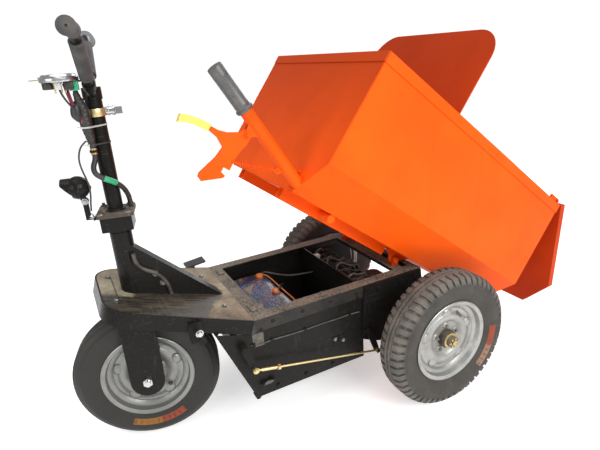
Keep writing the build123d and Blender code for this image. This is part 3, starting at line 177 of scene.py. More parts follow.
class Graph:
    """A material's node tree with one way to add a node."""

    def __init__(self, name):
        self.material = bpy.data.materials.new(name)
        self.material.use_nodes = True
        self.tree = self.material.node_tree
        self.shader = self.tree.nodes["Principled BSDF"]
        self.coordinates = self.node("ShaderNodeTexCoord", {}, {}, "Object")
        self.facing = self.node("ShaderNodeNewGeometry", {}, {}, "Normal")

    def node(self, kind, choices, values, output=0):
        made = self.tree.nodes.new(kind)
        for name, value in choices.items():
            if name == "stops":
                ramp = made.color_ramp
                while len(ramp.elements) < len(value):
                    ramp.elements.new(0.5)
                for element, (position, colour) in zip(ramp.elements, value):
                    element.position = position
                    element.color = (*colour, 1.0)
            else:
                setattr(made, name, value)
        for name, value in values.items():
            self.join(made.inputs[name], value)
        return Field(self, made.outputs[output])

    def join(self, socket, value):
        if isinstance(value, Field):
            self.tree.links.new(value.socket, socket)
        elif hasattr(value, "__len__") and len(value) == 3 and socket.type == "RGBA":
            socket.default_value = (*value, 1.0)
        else:
            socket.default_value = value

    def set(self, **values):
        for name, value in values.items():
            self.join(self.shader.inputs[name.replace("_", " ")], value)

    def noise(self, scale, detail=3.0, roughness=0.55, where=None, distortion=0.0):
        return self.node("ShaderNodeTexNoise", {},
                         {"Vector": where or self.coordinates, "Scale": scale, "Detail": detail,
                          "Roughness": roughness, "Distortion": distortion})

    def stretched(self, scale, turn=(0.0, 0.0, 0.0)):
        return self.node("ShaderNodeMapping", {}, {"Vector": self.coordinates, "Scale": scale, "Rotation": turn})

    def moved(self, origin, turn=(0.0, 0.0, 0.0)):
        """Object coordinates counted from origin and turned back by turn."""
        shifted = self.node("ShaderNodeVectorMath", {"operation": "SUBTRACT"},
                            {0: self.coordinates, 1: tuple(origin)})
        return self.node("ShaderNodeMapping", {}, {"Vector": shifted, "Rotation": turn})

    def part(self, vector, name):
        return self.node("ShaderNodeSeparateXYZ", {}, {"Vector": vector}, name)

    def mix(self, share, first, second):
        return self.node("ShaderNodeMix", {"data_type": "RGBA"}, {0: share, 6: first, 7: second}, 2)

    def bump(self, height, distance, strength=1.0, normal=None):
        values = {"Height": height, "Distance": distance, "Strength": strength}
        if normal is not None:
            values["Normal"] = normal
        return self.node("ShaderNodeBump", {}, values)


def painted(name, colour, dust_share, scratches=0.4, roughness=0.35, dust_colour=None, low_dirt=0.6,
            streak=0.35, ripple=0.0012, grime=(0.06, 0.05, 0.035)):
    """Sprayed paint with dust on what faces up, dirt low down, handling scratches and a faint ripple."""
    graph = Graph(name)
    dust_colour = dust_colour or tuple(settings().paint.dust)
    up = graph.part(graph.facing, "Z")
    height = graph.part(graph.coordinates, "Z")
    broad = graph.noise(5.0, 4.0)
    fine = graph.noise(70.0, 4.0, 0.65)
    grain = graph.noise(420.0, 2.0)
    wiped = graph.noise(1.0, 3.0, 0.6, graph.stretched((9.0, 22.0, 7.0), (0.2, 0.1, 0.4)))
    lying = (up.above(0.15, 0.95) * 1.1 + 0.22) * (broad.above(0.33, 0.66) * 0.7 + 0.3)
    dust = (lying * (fine * 1.3 + 0.2) * (wiped.above(0.3, 0.72) * streak + (1.0 - streak))
            + (1.0 - height.above(0.1, 0.5)) * low_dirt * fine.above(0.42, 0.7)) * dust_share
    dust = dust.clamped()
    along = graph.noise(1.0, 2.0, 0.5, graph.stretched((14.0, 240.0, 240.0), (0.3, 0.5, 0.2)))
    across = graph.noise(1.0, 2.0, 0.5, graph.stretched((260.0, 260.0, 12.0), (0.5, 0.2, 0.9)))
    scratch = (along.above(0.665, 0.70) + across.above(0.67, 0.705)).clamped() * scratches
    shade = graph.mix(broad.above(0.3, 0.75) * 0.5, colour, tuple(value * 0.72 for value in colour))
    shade = graph.mix((fine.above(0.5, 0.8) * low_dirt * 0.45).clamped(), shade, grime)
    shade = graph.mix(scratch, shade, tuple(min(1.0, value * 0.6 + 0.22) for value in colour))
    shade = graph.mix(dust, shade, dust_colour)
    graph.set(Base_Color=shade, Roughness=(dust * 0.5 + fine * 0.16 + roughness - 0.05).clamped())
    relief = graph.bump(broad + fine * 0.25, ripple)
    graph.set(Normal=graph.bump(grain * 0.3 + dust * 0.5 - scratch * 0.6, 0.0003, 0.6, relief))
    graph.shader.inputs["Specular IOR Level"].default_value = 0.13
    return graph.material


def rail_paint():
    """Black rails whose tops are caked with rough grey-brown dust; the sides keep most of their paint."""
    graph = Graph("frame_rail_paint")
    up = graph.part(graph.facing, "Z").above(0.3, 0.8)
    broad = graph.noise(16.0, 4.0, 0.6)
    fine = graph.noise(150.0, 5.0, 0.7)
    grain = graph.noise(600.0, 2.0)
    rough = (broad * 0.6 + fine * 0.6)
    caked = (up * rough.above(0.35, 0.62) + (1.0 - up) * broad.above(0.35, 0.8) * 0.12).clamped()
    pale = graph.mix(fine.above(0.35, 0.7), (0.115, 0.098, 0.075), (0.30, 0.27, 0.215))
    shade = graph.mix((caked * 0.92).clamped(), (0.012, 0.011, 0.0095), pale)
    graph.set(Base_Color=shade, Roughness=(0.35 + caked * 0.5).clamped(),
              Normal=graph.bump(caked * 0.5 + fine * 0.7 + grain * 0.3, 0.0012, 0.8))
    graph.shader.inputs["Specular IOR Level"].default_value = 0.25
    return graph.material


def deck_paint():
    """Glossy black deck under brushed dust, with dried mud kept at the nose and in front of the battery box."""
    graph = Graph("deck_paint")
    x = graph.part(graph.coordinates, "X")
    side = graph.part(graph.coordinates, "Y")
    across = side.math("ABSOLUTE")
    low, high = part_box("deck_plate")
    broad = graph.noise(7.0, 4.0)
    fine = graph.noise(90.0, 5.0, 0.65)
    grain = graph.noise(480.0, 2.0)
    brushed = graph.noise(1.0, 4.0, 0.6, graph.stretched((16.0, 110.0, 40.0), (0.0, 0.0, 0.5)))
    swept = graph.noise(1.0, 4.0, 0.6, graph.stretched((90.0, 14.0, 40.0), (0.0, 0.0, 0.25)))
    lip = (low.x + 0.016 + across * 0.60 - x) + (fine - 0.5) * 0.03 + (broad - 0.5) * 0.05
    nose = (x - (high.x - 0.085)) + (fine - 0.5) * 0.03 + (broad - 0.5) * 0.10
    far = (0.045 - side + (broad - 0.5) * 0.10).above(-0.01, 0.012)
    caked = (lip.above(-0.004, 0.010) + nose.above(-0.004, 0.012) * far).clamped() * (0.62 + broad * 0.5)
    slot = ((1.0 - ((x - (high.x - 0.040)).math("ABSOLUTE") / 0.0035).math("MINIMUM", 1.0))
            * (0.09 - across).above(0.0, 0.01))
    film = ((brushed.above(0.40, 0.72) * 0.42 + swept.above(0.5, 0.75) * 0.25 + broad.above(0.45, 0.8) * 0.15)
            * (fine + 0.4))
    shade = graph.mix(film.clamped(), (0.016, 0.0145, 0.012), (0.20, 0.165, 0.11))
    mud = graph.mix((broad * 0.8 + fine * 0.4 - 0.15).above(0.3, 0.65), (0.13, 0.10, 0.07), (0.42, 0.37, 0.26))
    shade = graph.mix((caked * (1.0 - slot)).clamped(), shade, mud)
    graph.set(Base_Color=shade, Roughness=(0.22 + film * 0.5 + caked * 0.5 + fine * 0.1).clamped(),
              Normal=graph.bump(caked * 0.5 + fine * 0.4 + grain * 0.2, 0.0008, 0.6))
    graph.shader.inputs["Specular IOR Level"].default_value = 0.4
    return graph.material


def bucket_paint(name, colour, dark, top_painted_shade=0.0, front_plate_painted_shade=0.0):
    """Orange spray paint: faded broad patches, faint runs of dust, a few scuffs; painted shade darkens the front plate
    towards its top and, where asked, the paint towards the rim.
    """
    graph = Graph(name)
    broad = graph.noise(2.2, 3.0)
    cloud = graph.noise(9.0, 5.0, 0.6)
    fine = graph.noise(120.0, 4.0, 0.6)
    orange_peel = graph.noise(520.0, 2.0)
    run = graph.noise(1.0, 3.0, 0.6, graph.stretched((30.0, 30.0, 3.0), (0.0, TIP_ANGLE, 0.0)))
    scuff = graph.noise(1.0, 2.0, 0.5, graph.stretched((12.0, 180.0, 260.0), (0.1, 0.6, 0.15)))
    scuff = scuff.above(0.70, 0.76) * 0.10
    chip = graph.noise(46.0, 2.0, 0.4).above(0.80, 0.81) * 0.6
    shade = graph.mix(broad.above(0.35, 0.7), colour, tuple(value * factor for value, factor
                                                           in zip(colour, (0.86, 0.72, 0.6))))
    shade = graph.mix(cloud.above(0.45, 0.8) * 0.16, shade, dark)
    shade = graph.mix(run.above(0.58, 0.75) * 0.14, shade, dark)
    # Painted shade: the front plate is darkened towards its top, standing in for light falling off up the plate.
    if front_plate_painted_shade:
        lowered = graph.moved(BUCKET_HINGE, (0.0, TIP_ANGLE, 0.0))
        ahead = graph.part(lowered, "X").above(0.527, 0.5325)
        tall = graph.part(lowered, "Z").above(0.02, 0.44)
        shade = graph.mix((ahead * tall * front_plate_painted_shade).clamped(), shade, dark)
    # Painted shade: the paint is darkened higher up, object Z 0.74 to 1.10, towards the rim; the guard asks for it.
    if top_painted_shade:
        tall = graph.part(graph.coordinates, "Z")
        shade = graph.mix((tall.above(0.74, 1.10) * top_painted_shade).clamped(), shade, dark)
    shade = graph.mix(scuff, shade, tuple(min(1.0, value * 0.9 + 0.10) for value in colour))
    shade = graph.mix(chip, shade, (0.09, 0.035, 0.015))
    graph.set(Base_Color=shade, Roughness=(0.38 + cloud * 0.14 + fine * 0.08 + scuff * 0.3).clamped())
    graph.shader.inputs["Specular IOR Level"].default_value = 0.10
    relief = graph.bump(broad + cloud * 0.2, 0.004, 0.5)
    graph.set(Normal=graph.bump(orange_peel * 0.25 + fine * 0.2 - chip * 1.2, 0.0003, 0.6, relief))
    return graph.material


def metal(name, colour, roughness=0.3, tint=(0.25, 0.2, 0.13), stain=0.3, metallic=1.0):
    """Plated or sprayed metal with fine brushing and dull stains."""
    graph = Graph(name)
    cloud = graph.noise(30.0, 4.0, 0.6)
    fine = graph.noise(300.0, 3.0)
    lines = graph.noise(1.0, 2.0, 0.5, graph.stretched((60.0, 900.0, 900.0), (0.1, 0.3, 0.2)))
    spots = cloud.above(0.5, 0.78) * stain
    graph.set(Base_Color=graph.mix(spots, colour, tint), Metallic=(metallic - spots * 0.8).clamped(),
              Roughness=(roughness + spots * 0.5 + fine * 0.12).clamped(),
              Normal=graph.bump(lines * 0.4 + fine * 0.4, 0.0002, 0.5))
    return graph.material


def rim_paint(name, colour, centre, turn):
    """Silver rim paint: brake dust towards the hub, stains in the steps."""
    graph = Graph(name)
    local = graph.moved(centre, turn)
    x = graph.part(local, "X")
    z = graph.part(local, "Z")
    radius = (x * x + z * z).math("SQRT")
    cloud = graph.noise(22.0, 4.0, 0.62)
    fine = graph.noise(260.0, 3.0)
    drip = graph.noise(75.0, 3.0, 0.6)
    grime = ((1.0 - radius.above(0.03, 0.085)) * 0.35 + cloud.above(0.46, 0.72) * 0.28
             + drip.above(0.6, 0.75) * 0.25).clamped()
    seam = (1.0 - ((radius - 0.1095).math("ABSOLUTE") / 0.003).math("MINIMUM", 1.0)) * 0.5
    shade = graph.mix(cloud.above(0.3, 0.7) * 0.35, colour, tuple(value * 0.7 for value in colour))
    shade = graph.mix((grime + seam).clamped(), shade, (0.13, 0.115, 0.085))
    graph.set(Base_Color=shade, Metallic=(0.72 - grime * 0.6).clamped(),
              Roughness=(0.30 + grime * 0.45 + fine * 0.1).clamped(),
              Normal=graph.bump(cloud * 0.5 + fine * 0.3, 0.0006, 0.5))
    return graph.material


def tyre_rubber(name, colour, centre, turn, dust_share, band, band_colours, side=1.0):
    """Dusty rubber with moulded rings on the wall and a plain two-colour band printed on the outer wall."""
    graph = Graph(name)
    local = graph.moved(centre, turn)
    x = graph.part(local, "X")
    y = graph.part(local, "Y")
    z = graph.part(local, "Z")
    radius = (x * x + z * z).math("SQRT")
    angle = (-x).math("ARCTAN2", -z)
    cloud = graph.noise(12.0, 5.0, 0.6)
    fine = graph.noise(150.0, 4.0, 0.65)
    speck = graph.noise(480.0, 2.0)
    inner_radius, outer_radius, start, end = band
    within = ((radius - inner_radius) / 0.0015).clamped() * ((outer_radius - radius) / 0.0015).clamped()
    along = ((angle - start) / 0.02).clamped() * ((end - angle) / 0.02).clamped()
    outer_wall = (y * side).above(0.02, 0.022)
    ticks = (angle * 60.0).math("SINE").above(0.2, 0.5) * ((radius - (inner_radius + outer_radius) / 2).math(
        "ABSOLUTE") / 0.006).math("LESS_THAN", 1.0) * (cloud.above(0.35, 0.5))
    printed = within * along * outer_wall * (1.0 - fine.above(0.55, 0.7) * 0.4) * (1.0 - ticks * 0.55)
    split = start + (end - start) * 0.52
    first, second = band_colours
    ink = graph.mix((angle - split).above(-0.01, 0.01), first, second)
    tread = radius.above(0.196, 0.212)
    dust = ((cloud.above(0.35, 0.7) * 0.5 + 0.3) * (0.35 + tread * 0.9) * (fine * 1.2 + 0.35) * dust_share).clamped()
    rings = (radius * 900.0).math("SINE") * (1.0 - tread) * 0.5
    shade = graph.mix(dust, colour, (0.185, 0.170, 0.148))
    shade = graph.mix(cloud.above(0.55, 0.8) * 0.25 * dust_share, shade, (0.12, 0.09, 0.06))
    shade = graph.mix(printed, shade, ink)
    graph.set(Base_Color=shade, Roughness=(0.62 + dust * 0.3 - printed * 0.15).clamped(),
              Normal=graph.bump(rings * 0.5 + fine * 0.5 + speck * 0.2, 0.0006, 0.7))
    graph.shader.inputs["Specular IOR Level"].default_value = 0.2
    return graph.material


def moulded(name, colour, roughness=0.55, dust=0.2, rib=0.0):
    """Moulded rubber or plastic with a fine grain and rubbed dust."""
    graph = Graph(name)
    cloud = graph.noise(24.0, 4.0, 0.6)
    grain = graph.noise(700.0, 2.0)
    film = (cloud.above(0.4, 0.75) * dust).clamped()
    height = grain * 0.5 + cloud * 0.1
    if rib:
        height = height + (graph.part(graph.coordinates, "Y") * rib).math("SINE") * 0.8
    graph.set(Base_Color=graph.mix(film, colour, tuple(settings().paint.dust)),
              Roughness=(roughness + film * 0.4 + grain * 0.08).clamped(),
              Normal=graph.bump(height, 0.0004, 0.6))
    return graph.material


def tie_nylon():
    """The upper tie is white nylon gone grey, the lower one is black."""
    graph = Graph("tie_nylon")
    tall = graph.part(graph.coordinates, "Z")
    grain = graph.noise(500.0, 2.0)
    smear = graph.noise(60.0, 3.0)
    pale = graph.mix(smear.above(0.35, 0.7) * 0.5, (0.42, 0.42, 0.41), (0.20, 0.19, 0.17))
    graph.set(Base_Color=graph.mix(tall.above(0.955, 0.962), (0.02, 0.02, 0.02), pale),
              Roughness=(0.38 + smear * 0.2).clamped(), Normal=graph.bump(grain, 0.0002, 0.5))
    return graph.material


def shrink_film(name):
    """A printed carton under clear crinkled film: plain patches of blue, violet and yellow, with painted glare on the
    crinkles.
    """
    graph = Graph(name)
    where = graph.moved(place(475, 0, 360))
    patch = graph.noise(11.0, 2.0, 0.4, where, 0.8)
    other = graph.noise(17.0, 2.0, 0.4, graph.stretched((1.0, 1.4, 1.0), (0.0, 0.0, 0.7)), 0.5)
    crinkle = graph.noise(55.0, 4.0, 0.6, None, 1.4)
    fine = graph.noise(260.0, 3.0)
    glare = crinkle.above(0.6, 0.68)
    streak = graph.noise(1.0, 3.0, 0.6, graph.stretched((30.0, 9.0, 20.0), (0.0, 0.0, 0.35)))
    shade = graph.mix(patch.above(0.40, 0.52), (0.016, 0.016, 0.035), (0.022, 0.034, 0.105))
    shade = graph.mix(other.above(0.545, 0.60), shade, (0.10, 0.035, 0.070))
    shade = graph.mix(streak.above(0.58, 0.66) * 0.6, shade, (0.30, 0.22, 0.10))
    shade = graph.mix(patch.above(0.62, 0.66) * 0.7, shade, (0.30, 0.19, 0.045))
    shade = graph.mix((fine.above(0.4, 0.8) * 0.25).clamped(), shade, (0.12, 0.11, 0.12))
    # Painted highlight: pale grey glare painted on the crinkle tops.
    shade = graph.mix(glare * 0.35, shade, (0.33, 0.33, 0.36))
    graph.set(Base_Color=shade, Roughness=(0.18 + fine * 0.2).clamped(),
              Normal=graph.bump(crinkle, 0.004, 0.7))
    graph.shader.inputs["Coat Weight"].default_value = 0.5
    graph.shader.inputs["Coat Roughness"].default_value = 0.12
    return graph.material


def clear_glass(name, tint):
    graph = Graph(name)
    smear = graph.noise(40.0, 3.0)
    ribs = graph.node("ShaderNodeMath", {"operation": "SINE"},
                      {0: graph.part(graph.coordinates, "Y") * 1500.0})
    graph.set(Base_Color=graph.mix(smear.above(0.4, 0.8) * 0.3, tint, (0.5, 0.5, 0.48)),
              Roughness=(0.06 + smear * 0.15).clamped(), Normal=graph.bump(ribs, 0.0006, 0.5))
    graph.shader.inputs["Transmission Weight"].default_value = 0.55
    graph.shader.inputs["Metallic"].default_value = 0.0
    return graph.material


def floor_finish(name):
    graph = Graph(name)
    soft = graph.noise(1.3, 2.0)
    graph.set(Base_Color=graph.mix(soft * 0.3, (0.90, 0.90, 0.895), (0.87, 0.87, 0.865)),
              Roughness=(0.75 + soft * 0.1).clamped())
    graph.shader.inputs["Specular IOR Level"].default_value = 0.15
    graph.shader.inputs["Emission Color"].default_value = (1.0, 1.0, 1.0, 1.0)
    graph.shader.inputs["Emission Strength"].default_value = 0.42
    return graph.material


# ---- modelling helpers ----
def finished(bm, name, material, body, turn=None, stands_for=(), sharp=38.0, keep=False):
    """Turns a bmesh into a piece that rides on a body."""
    if turn is not None:
        bmesh.ops.transform(bm, matrix=turn, verts=bm.verts)
    if not keep:
        bmesh.ops.remove_doubles(bm, verts=bm.verts, dist=0.000002)
        bmesh.ops.recalc_face_normals(bm, faces=bm.faces)
    mesh = bpy.data.meshes.new(name)
    bm.to_mesh(mesh)
    bm.free()
    mesh.shade_smooth()
    mesh.set_sharp_from_angle(angle=math.radians(sharp))
    piece = bpy.data.objects.new(name, mesh)
    bpy.context.scene.collection.objects.link(piece)
    mesh.materials.append(material)
    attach(piece, body)
    if stands_for:
        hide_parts(*stands_for)
    return piece


def spin_ring(bm, outline, centre, steps, axis=Vector((0, 1, 0)), closed=True, arc=math.tau, up=None):
    """Spins an outline of (radius, along) points about a line through centre."""
    axis = axis.normalized()
    up = up or (Vector((0, 0, 1)) if abs(axis.z) < 0.9 else Vector((1, 0, 0)))
    up = (up - axis * up.dot(axis)).normalized()
    dots = [bm.verts.new(centre + up * radius + axis * along) for radius, along in outline]
    pairs = list(zip(dots, dots[1:]))
    if closed:
        pairs.append((dots[-1], dots[0]))
    lines = [bm.edges.new(pair) for pair in pairs]
    full = abs(arc - math.tau) < 0.0001
    bmesh.ops.spin(bm, geom=dots + lines, cent=centre, axis=axis, dvec=(0, 0, 0), angle=arc, steps=steps,
                   use_merge=full, use_duplicate=False)


def bar_between(bm, start, end, radius, far_radius=None, sides=16):
    """A straight round bar, tapered if it has a second radius."""
    start = Vector(start)
    end = Vector(end)
    run = end - start
    turn = run.to_track_quat("Z", "Y").to_matrix().to_4x4()
    bmesh.ops.create_cone(bm, cap_ends=True, segments=sides, radius1=radius,
                          radius2=radius if far_radius is None else far_radius, depth=run.length,
                          matrix=Matrix.Translation((start + end) / 2) @ turn)


def block(bm, low, high, edge=0.0, turn=None, segments=2):
    """A box between two corners with rounded edges."""
    low = Vector(low)
    high = Vector(high)
    size = high - low
    matrix = Matrix.Translation((low + high) / 2) @ Matrix.Diagonal((*size, 1.0))
    made = bmesh.ops.create_cube(bm, size=1.0, matrix=matrix)["verts"]
    if edge:
        edges = list({line for dot in made for line in dot.link_edges})
        grown = bmesh.ops.bevel(bm, geom=edges, offset=edge, offset_type="OFFSET", segments=segments, profile=0.5,
                                affect="EDGES", material=-1)
        made = list({dot for face in grown["faces"] for dot in face.verts} | {dot for dot in made if dot.is_valid})
    if turn is not None:
        bmesh.ops.transform(bm, matrix=turn, verts=made)
    return made


def hex_bolt(bm, foot, direction, across, head, washer=True, thread=0.0):
    """A hexagon head on a washer, with a thread end if it has one."""
    direction = Vector(direction).normalized()
    foot = Vector(foot)
    if washer:
        bar_between(bm, foot, foot + direction * head * 0.22, across * 0.78, sides=24)
    turn = direction.to_track_quat("Z", "Y").to_matrix().to_4x4()
    centre = foot + direction * (head * 0.22 + head * 0.5)
    made = bmesh.ops.create_cone(bm, cap_ends=True, segments=6, radius1=across * 0.58, radius2=across * 0.58,
                                 depth=head, matrix=Matrix.Translation(centre) @ turn)["verts"]
    edges = list({line for dot in made for line in dot.link_edges})
    bmesh.ops.bevel(bm, geom=edges, offset=across * 0.06, offset_type="OFFSET", segments=1, profile=0.5,
                    affect="EDGES", material=-1)
    if thread:
        top = foot + direction * head * 1.2
        bar_between(bm, top, top + direction * thread, across * 0.26, sides=14)


def smooth_line(points, name="line"):
    """Points read along the NURBS spline that has these points as its control points."""
    curve = bpy.data.curves.new(name, "CURVE")
    curve.dimensions = "3D"
    curve.resolution_u = 12
    spline = curve.splines.new("NURBS")
    spline.points.add(len(points) - 1)
    for point, where in zip(spline.points, points):
        point.co = (*where, 1.0)
    spline.order_u = 3
    spline.use_endpoint_u = True
    holder = bpy.data.objects.new(name, curve)
    bpy.context.scene.collection.objects.link(holder)
    line = bpy.data.meshes.new_from_object(holder)
    dots = [dot.co.copy() for dot in line.vertices]
    bpy.data.objects.remove(holder)
    bpy.data.curves.remove(curve)
    bpy.data.meshes.remove(line)
    return dots


def frames_along(line):
    """Each point of a line with two directions square to it that don't twist."""
    out = []
    side = None
    for index, point in enumerate(line):
        ahead = line[min(index + 1, len(line) - 1)] - line[max(index - 1, 0)]
        ahead.normalize()
        if side is None:
            side = ahead.orthogonal().normalized()
        side = (side - ahead * side.dot(ahead)).normalized()
        out.append((point, side, ahead.cross(side)))
    return out


def hose(bm, line, radius, sides=12, swell=None):
    """A round tube that follows a line; swell(distance) scales the radius."""
    rings = []
    run = 0.0
    last = line[0]
    for point, side, up in frames_along(line):
        run += (point - last).length
        last = point
        size = radius * (swell(run) if swell else 1.0)
        ring = [bm.verts.new(point + side * size * math.cos(math.tau * k / sides)
                             + up * size * math.sin(math.tau * k / sides)) for k in range(sides)]
        if rings:
            edges = [bm.edges.get((a, b)) or bm.edges.new((a, b))
                     for row in (rings[-1], ring) for a, b in zip(row, row[1:] + row[:1])]
            bmesh.ops.bridge_loops(bm, edges=edges)
        rings.append(ring)
    bm.faces.new(rings[0][::-1])
    bm.faces.new(rings[-1])


def evenly(line, step):
    """The same line with points a step apart."""
    out = [line[0].copy()]
    carried = 0.0
    for a, b in zip(line, line[1:]):
        run = (b - a).length
        while carried + run >= step:
            a = a.lerp(b, (step - carried) / run)
            out.append(a.copy())
            run = (b - a).length
            carried = 0.0
        carried += run
    out.append(line[-1].copy())
    return out


def line_length(line):
    return sum((b - a).length for a, b in zip(line, line[1:]))


FINISH = {}


def finish(name):
    """The shared material of that name, made the first time it is asked for."""
    if name not in FINISH:
        FINISH[name] = FINISH_MAKERS[name]()
    return FINISH[name]


FINISH_MAKERS = {
    # orange: painted shade on the front plate towards its top
    "orange": lambda: bucket_paint("orange_paint", tuple(settings().paint.bucket), (0.42, 0.040, 0.003),
                                   front_plate_painted_shade=0.85),
    # guard: its third value is painted shade towards the top
    "guard": lambda: bucket_paint("guard_paint", (0.66, 0.060, 0.002), (0.26, 0.020, 0.001), 0.6),
    "gate": lambda: bucket_paint("gate_paint", tuple(settings().paint.gate), (0.16, 0.016, 0.004)),
    "black": lambda: painted("black_paint", tuple(settings().paint.chassis), 0.13, 0.05, 0.3,
                             dust_colour=(0.12, 0.105, 0.08), low_dirt=0.2),
    "clean_black": lambda: painted("steering_black", tuple(settings().paint.chassis), 0.09, 0.10, 0.24,
                                   dust_colour=(0.15, 0.13, 0.10), low_dirt=0.03),
    "frame": rail_paint,
    "deck": deck_paint,
    "flange": lambda: painted("flange_paint", (0.05, 0.043, 0.035), 0.9, 0.3, 0.45,
                              dust_colour=(0.23, 0.19, 0.14)),
    "chrome": lambda: metal("chrome_plate", (0.55, 0.55, 0.56), 0.14, (0.16, 0.15, 0.13), 0.4),
    "steel": lambda: metal("bare_steel", (0.30, 0.295, 0.28), 0.38, (0.10, 0.085, 0.06), 0.65),
    "zinc": lambda: metal("yellow_zinc", (0.62, 0.54, 0.27), 0.32, (0.2, 0.16, 0.08), 0.35),
    "brass": lambda: metal("brass_plate", (0.46, 0.36, 0.17), 0.32, (0.10, 0.08, 0.05), 0.6),
    "grip": lambda: moulded("grip_rubber", (0.035, 0.035, 0.037), 0.6, 0.22),
    "glossy_grip": lambda: moulded("glossy_grip", (0.060, 0.062, 0.066), 0.3, 0.3),
    "sheath": lambda: moulded("cable_sheath", (0.012, 0.012, 0.012), 0.45, 0.12),
    "grey_sheath": lambda: moulded("grey_sheath", (0.030, 0.029, 0.028), 0.42, 0.30),
    "red_sheath": lambda: moulded("red_sheath", (0.15, 0.010, 0.030), 0.4, 0.06),
    "tape": lambda: moulded("black_tape", (0.010, 0.010, 0.0105), 0.38, 0.08),
    "green_tape": lambda: moulded("green_tape", (0.016, 0.30, 0.13), 0.35, 0.05),
    "nylon": lambda: moulded("white_nylon", (0.50, 0.50, 0.48), 0.4, 0.25),
    "ties": tie_nylon,
    "sleeve": lambda: moulded("dipped_sleeve", (0.80, 0.62, 0.10), 0.35, 0.08),
    "battery_grey": lambda: moulded("battery_case", (0.22, 0.22, 0.24), 0.45, 0.4),
    "orange_cap": lambda: moulded("orange_cap", (0.55, 0.14, 0.015), 0.4, 0.25),
    "film": lambda: shrink_film("printed_film"),
    "glass": lambda: clear_glass("lamp_glass", (0.85, 0.87, 0.88)),
    "dial": lambda: moulded("dial_face", (0.5, 0.5, 0.48), 0.3, 0.1),
    "hub": lambda: painted("hub_casting", (0.035, 0.033, 0.030), 0.45, 0.2, 0.4, low_dirt=0.4),
    "motor": lambda: painted("motor_casting", (0.07, 0.068, 0.065), 0.8, 0.2, 0.5, low_dirt=0.8),
    # A dark matte colour standing in for the shade inside a hole: painted shade
    "painted_hole_shade": lambda: moulded("painted_recess_shade", (0.012, 0.011, 0.010), 0.8, 0.3),
}

CAD_FINISH = {
    "bucket_shell": "orange", "bucket_frame": "orange", "bucket_guard": "guard", "dump_handle": "orange",
    "tailgate": "gate", "hinge_lugs": "gate", "latch_hook": "orange",
    "battery_box": "black", "deck_gusset": "clean_black", "head_tube": "clean_black", "fork": "clean_black",
    "steering_stem": "clean_black", "column_block": "clean_black", "steering_column": "clean_black",
    "handlebar": "clean_black", "drive_motor": "motor", "axle_carriers": "black", "axle_housing": "motor",
    "latch_catch": "black", "brake_shaft": "black", "brake_arm": "black", "side_fittings": "black",
    "headlamp": "clean_black", "frame_rails": "frame", "deck_rim": "clean_black",
    "deck_plate": "deck", "column_flange": "flange", "steer_brackets": "clean_black",
    "front_hub": "hub", "rear_hub_left": "hub", "rear_hub_right": "hub",
    "brake_pad": "grip", "brake_rod": "zinc", "front_axle": "chrome", "key_switch": "brass",
    "ignition_key": "chrome", "throttle_case": "chrome", "latch_sleeve": "sleeve", "cable_ties": "ties",
    "lamp_lens": "glass", "battery_rear": "battery_grey",
}


class PieceOperator:
    bl_options = {"REGISTER", "UNDO"}


class WHEELBARROW_OT_frame_finishes(PieceOperator, bpy.types.Operator):
    """Give every CAD part that stays visible its own surface."""

    bl_idname = "wheelbarrow.frame_finishes"
    bl_label = "Frame Finishes"

    def execute(self, context):
        for node, name in CAD_FINISH.items():
            part = NODE[node]
            part.data.materials.clear()
            part.data.materials.append(finish(name))
        return {"FINISHED"}


# ---- wheels ----
WHEELS = (
    ("rear_left", "rear_wheel_left_spin", "rear_wheel_left", 1, False),
    ("rear_right", "rear_wheel_right_spin", "rear_wheel_right", -1, False),
    ("front", "front_wheel_spin", "front_wheel", 1, True),
)


def carcass(bm, centre, radius, half, groove, steps, ribs, sunk=0.0):
    """The tyre's walls and crown as one closed ring with grooves between the centre ribs."""
    bead = 0.1284
    wide = (radius + bead) / 2 + 0.004
    wall = [(bead, 0.0346), (0.1315, 0.0362), (0.1375, 0.0372), (0.143, 0.0382), (wide - 0.022, half - 0.006),
            (wide - 0.014, half - 0.0030), (wide - 0.005, half - 0.0008), (wide + 0.004, half),
            (radius - 0.030, half - 0.0010 - sunk * 0.4), (radius - 0.024 - sunk * 0.3, half - 0.0022 - sunk * 0.8),
            (radius - 0.0225 - sunk * 0.5, half - 0.0045 - sunk), (radius - 0.016 - sunk, half - 0.0085 - sunk),
            (radius - 0.0095 - sunk, half - 0.0125 - sunk * 0.7), (radius - 0.0055 - sunk, half - 0.018)]
    crown = []
    floor = radius - groove
    top = radius - 0.0008
    for low, high in ribs:
        crown += [(floor, high + 0.0012), (top, high), (top, low), (floor, low - 0.0012)]
    inside = [(radius - 0.018, -half * 0.45), (wide, -half + 0.012), (0.145, -0.027), (bead, -0.026)]
    loop = wall + crown + [(r, -a) for r, a in reversed(wall)] + inside[::-1]
    loop += [(r, -a) for r, a in inside]
    spin_ring(bm, loop, centre, steps)


def tread_block(bm, section, centre, angle, depth, skew):
    """One tread block: its section across the tyre, run round by its depth, then turned into place."""
    dots = [bm.verts.new(centre + Vector((-depth / 2 + skew * along * -1, along, radius)))
            for radius, along in section]
    face = bm.faces.new(dots)
    made = bmesh.ops.extrude_face_region(bm, geom=[face])["geom"]
    moved = [item for item in made if isinstance(item, bmesh.types.BMVert)]
    bmesh.ops.translate(bm, verts=moved, vec=(depth, 0, 0))
    bmesh.ops.rotate(bm, cent=centre, matrix=Matrix.Rotation(angle, 3, "Y"), verts=dots + moved)


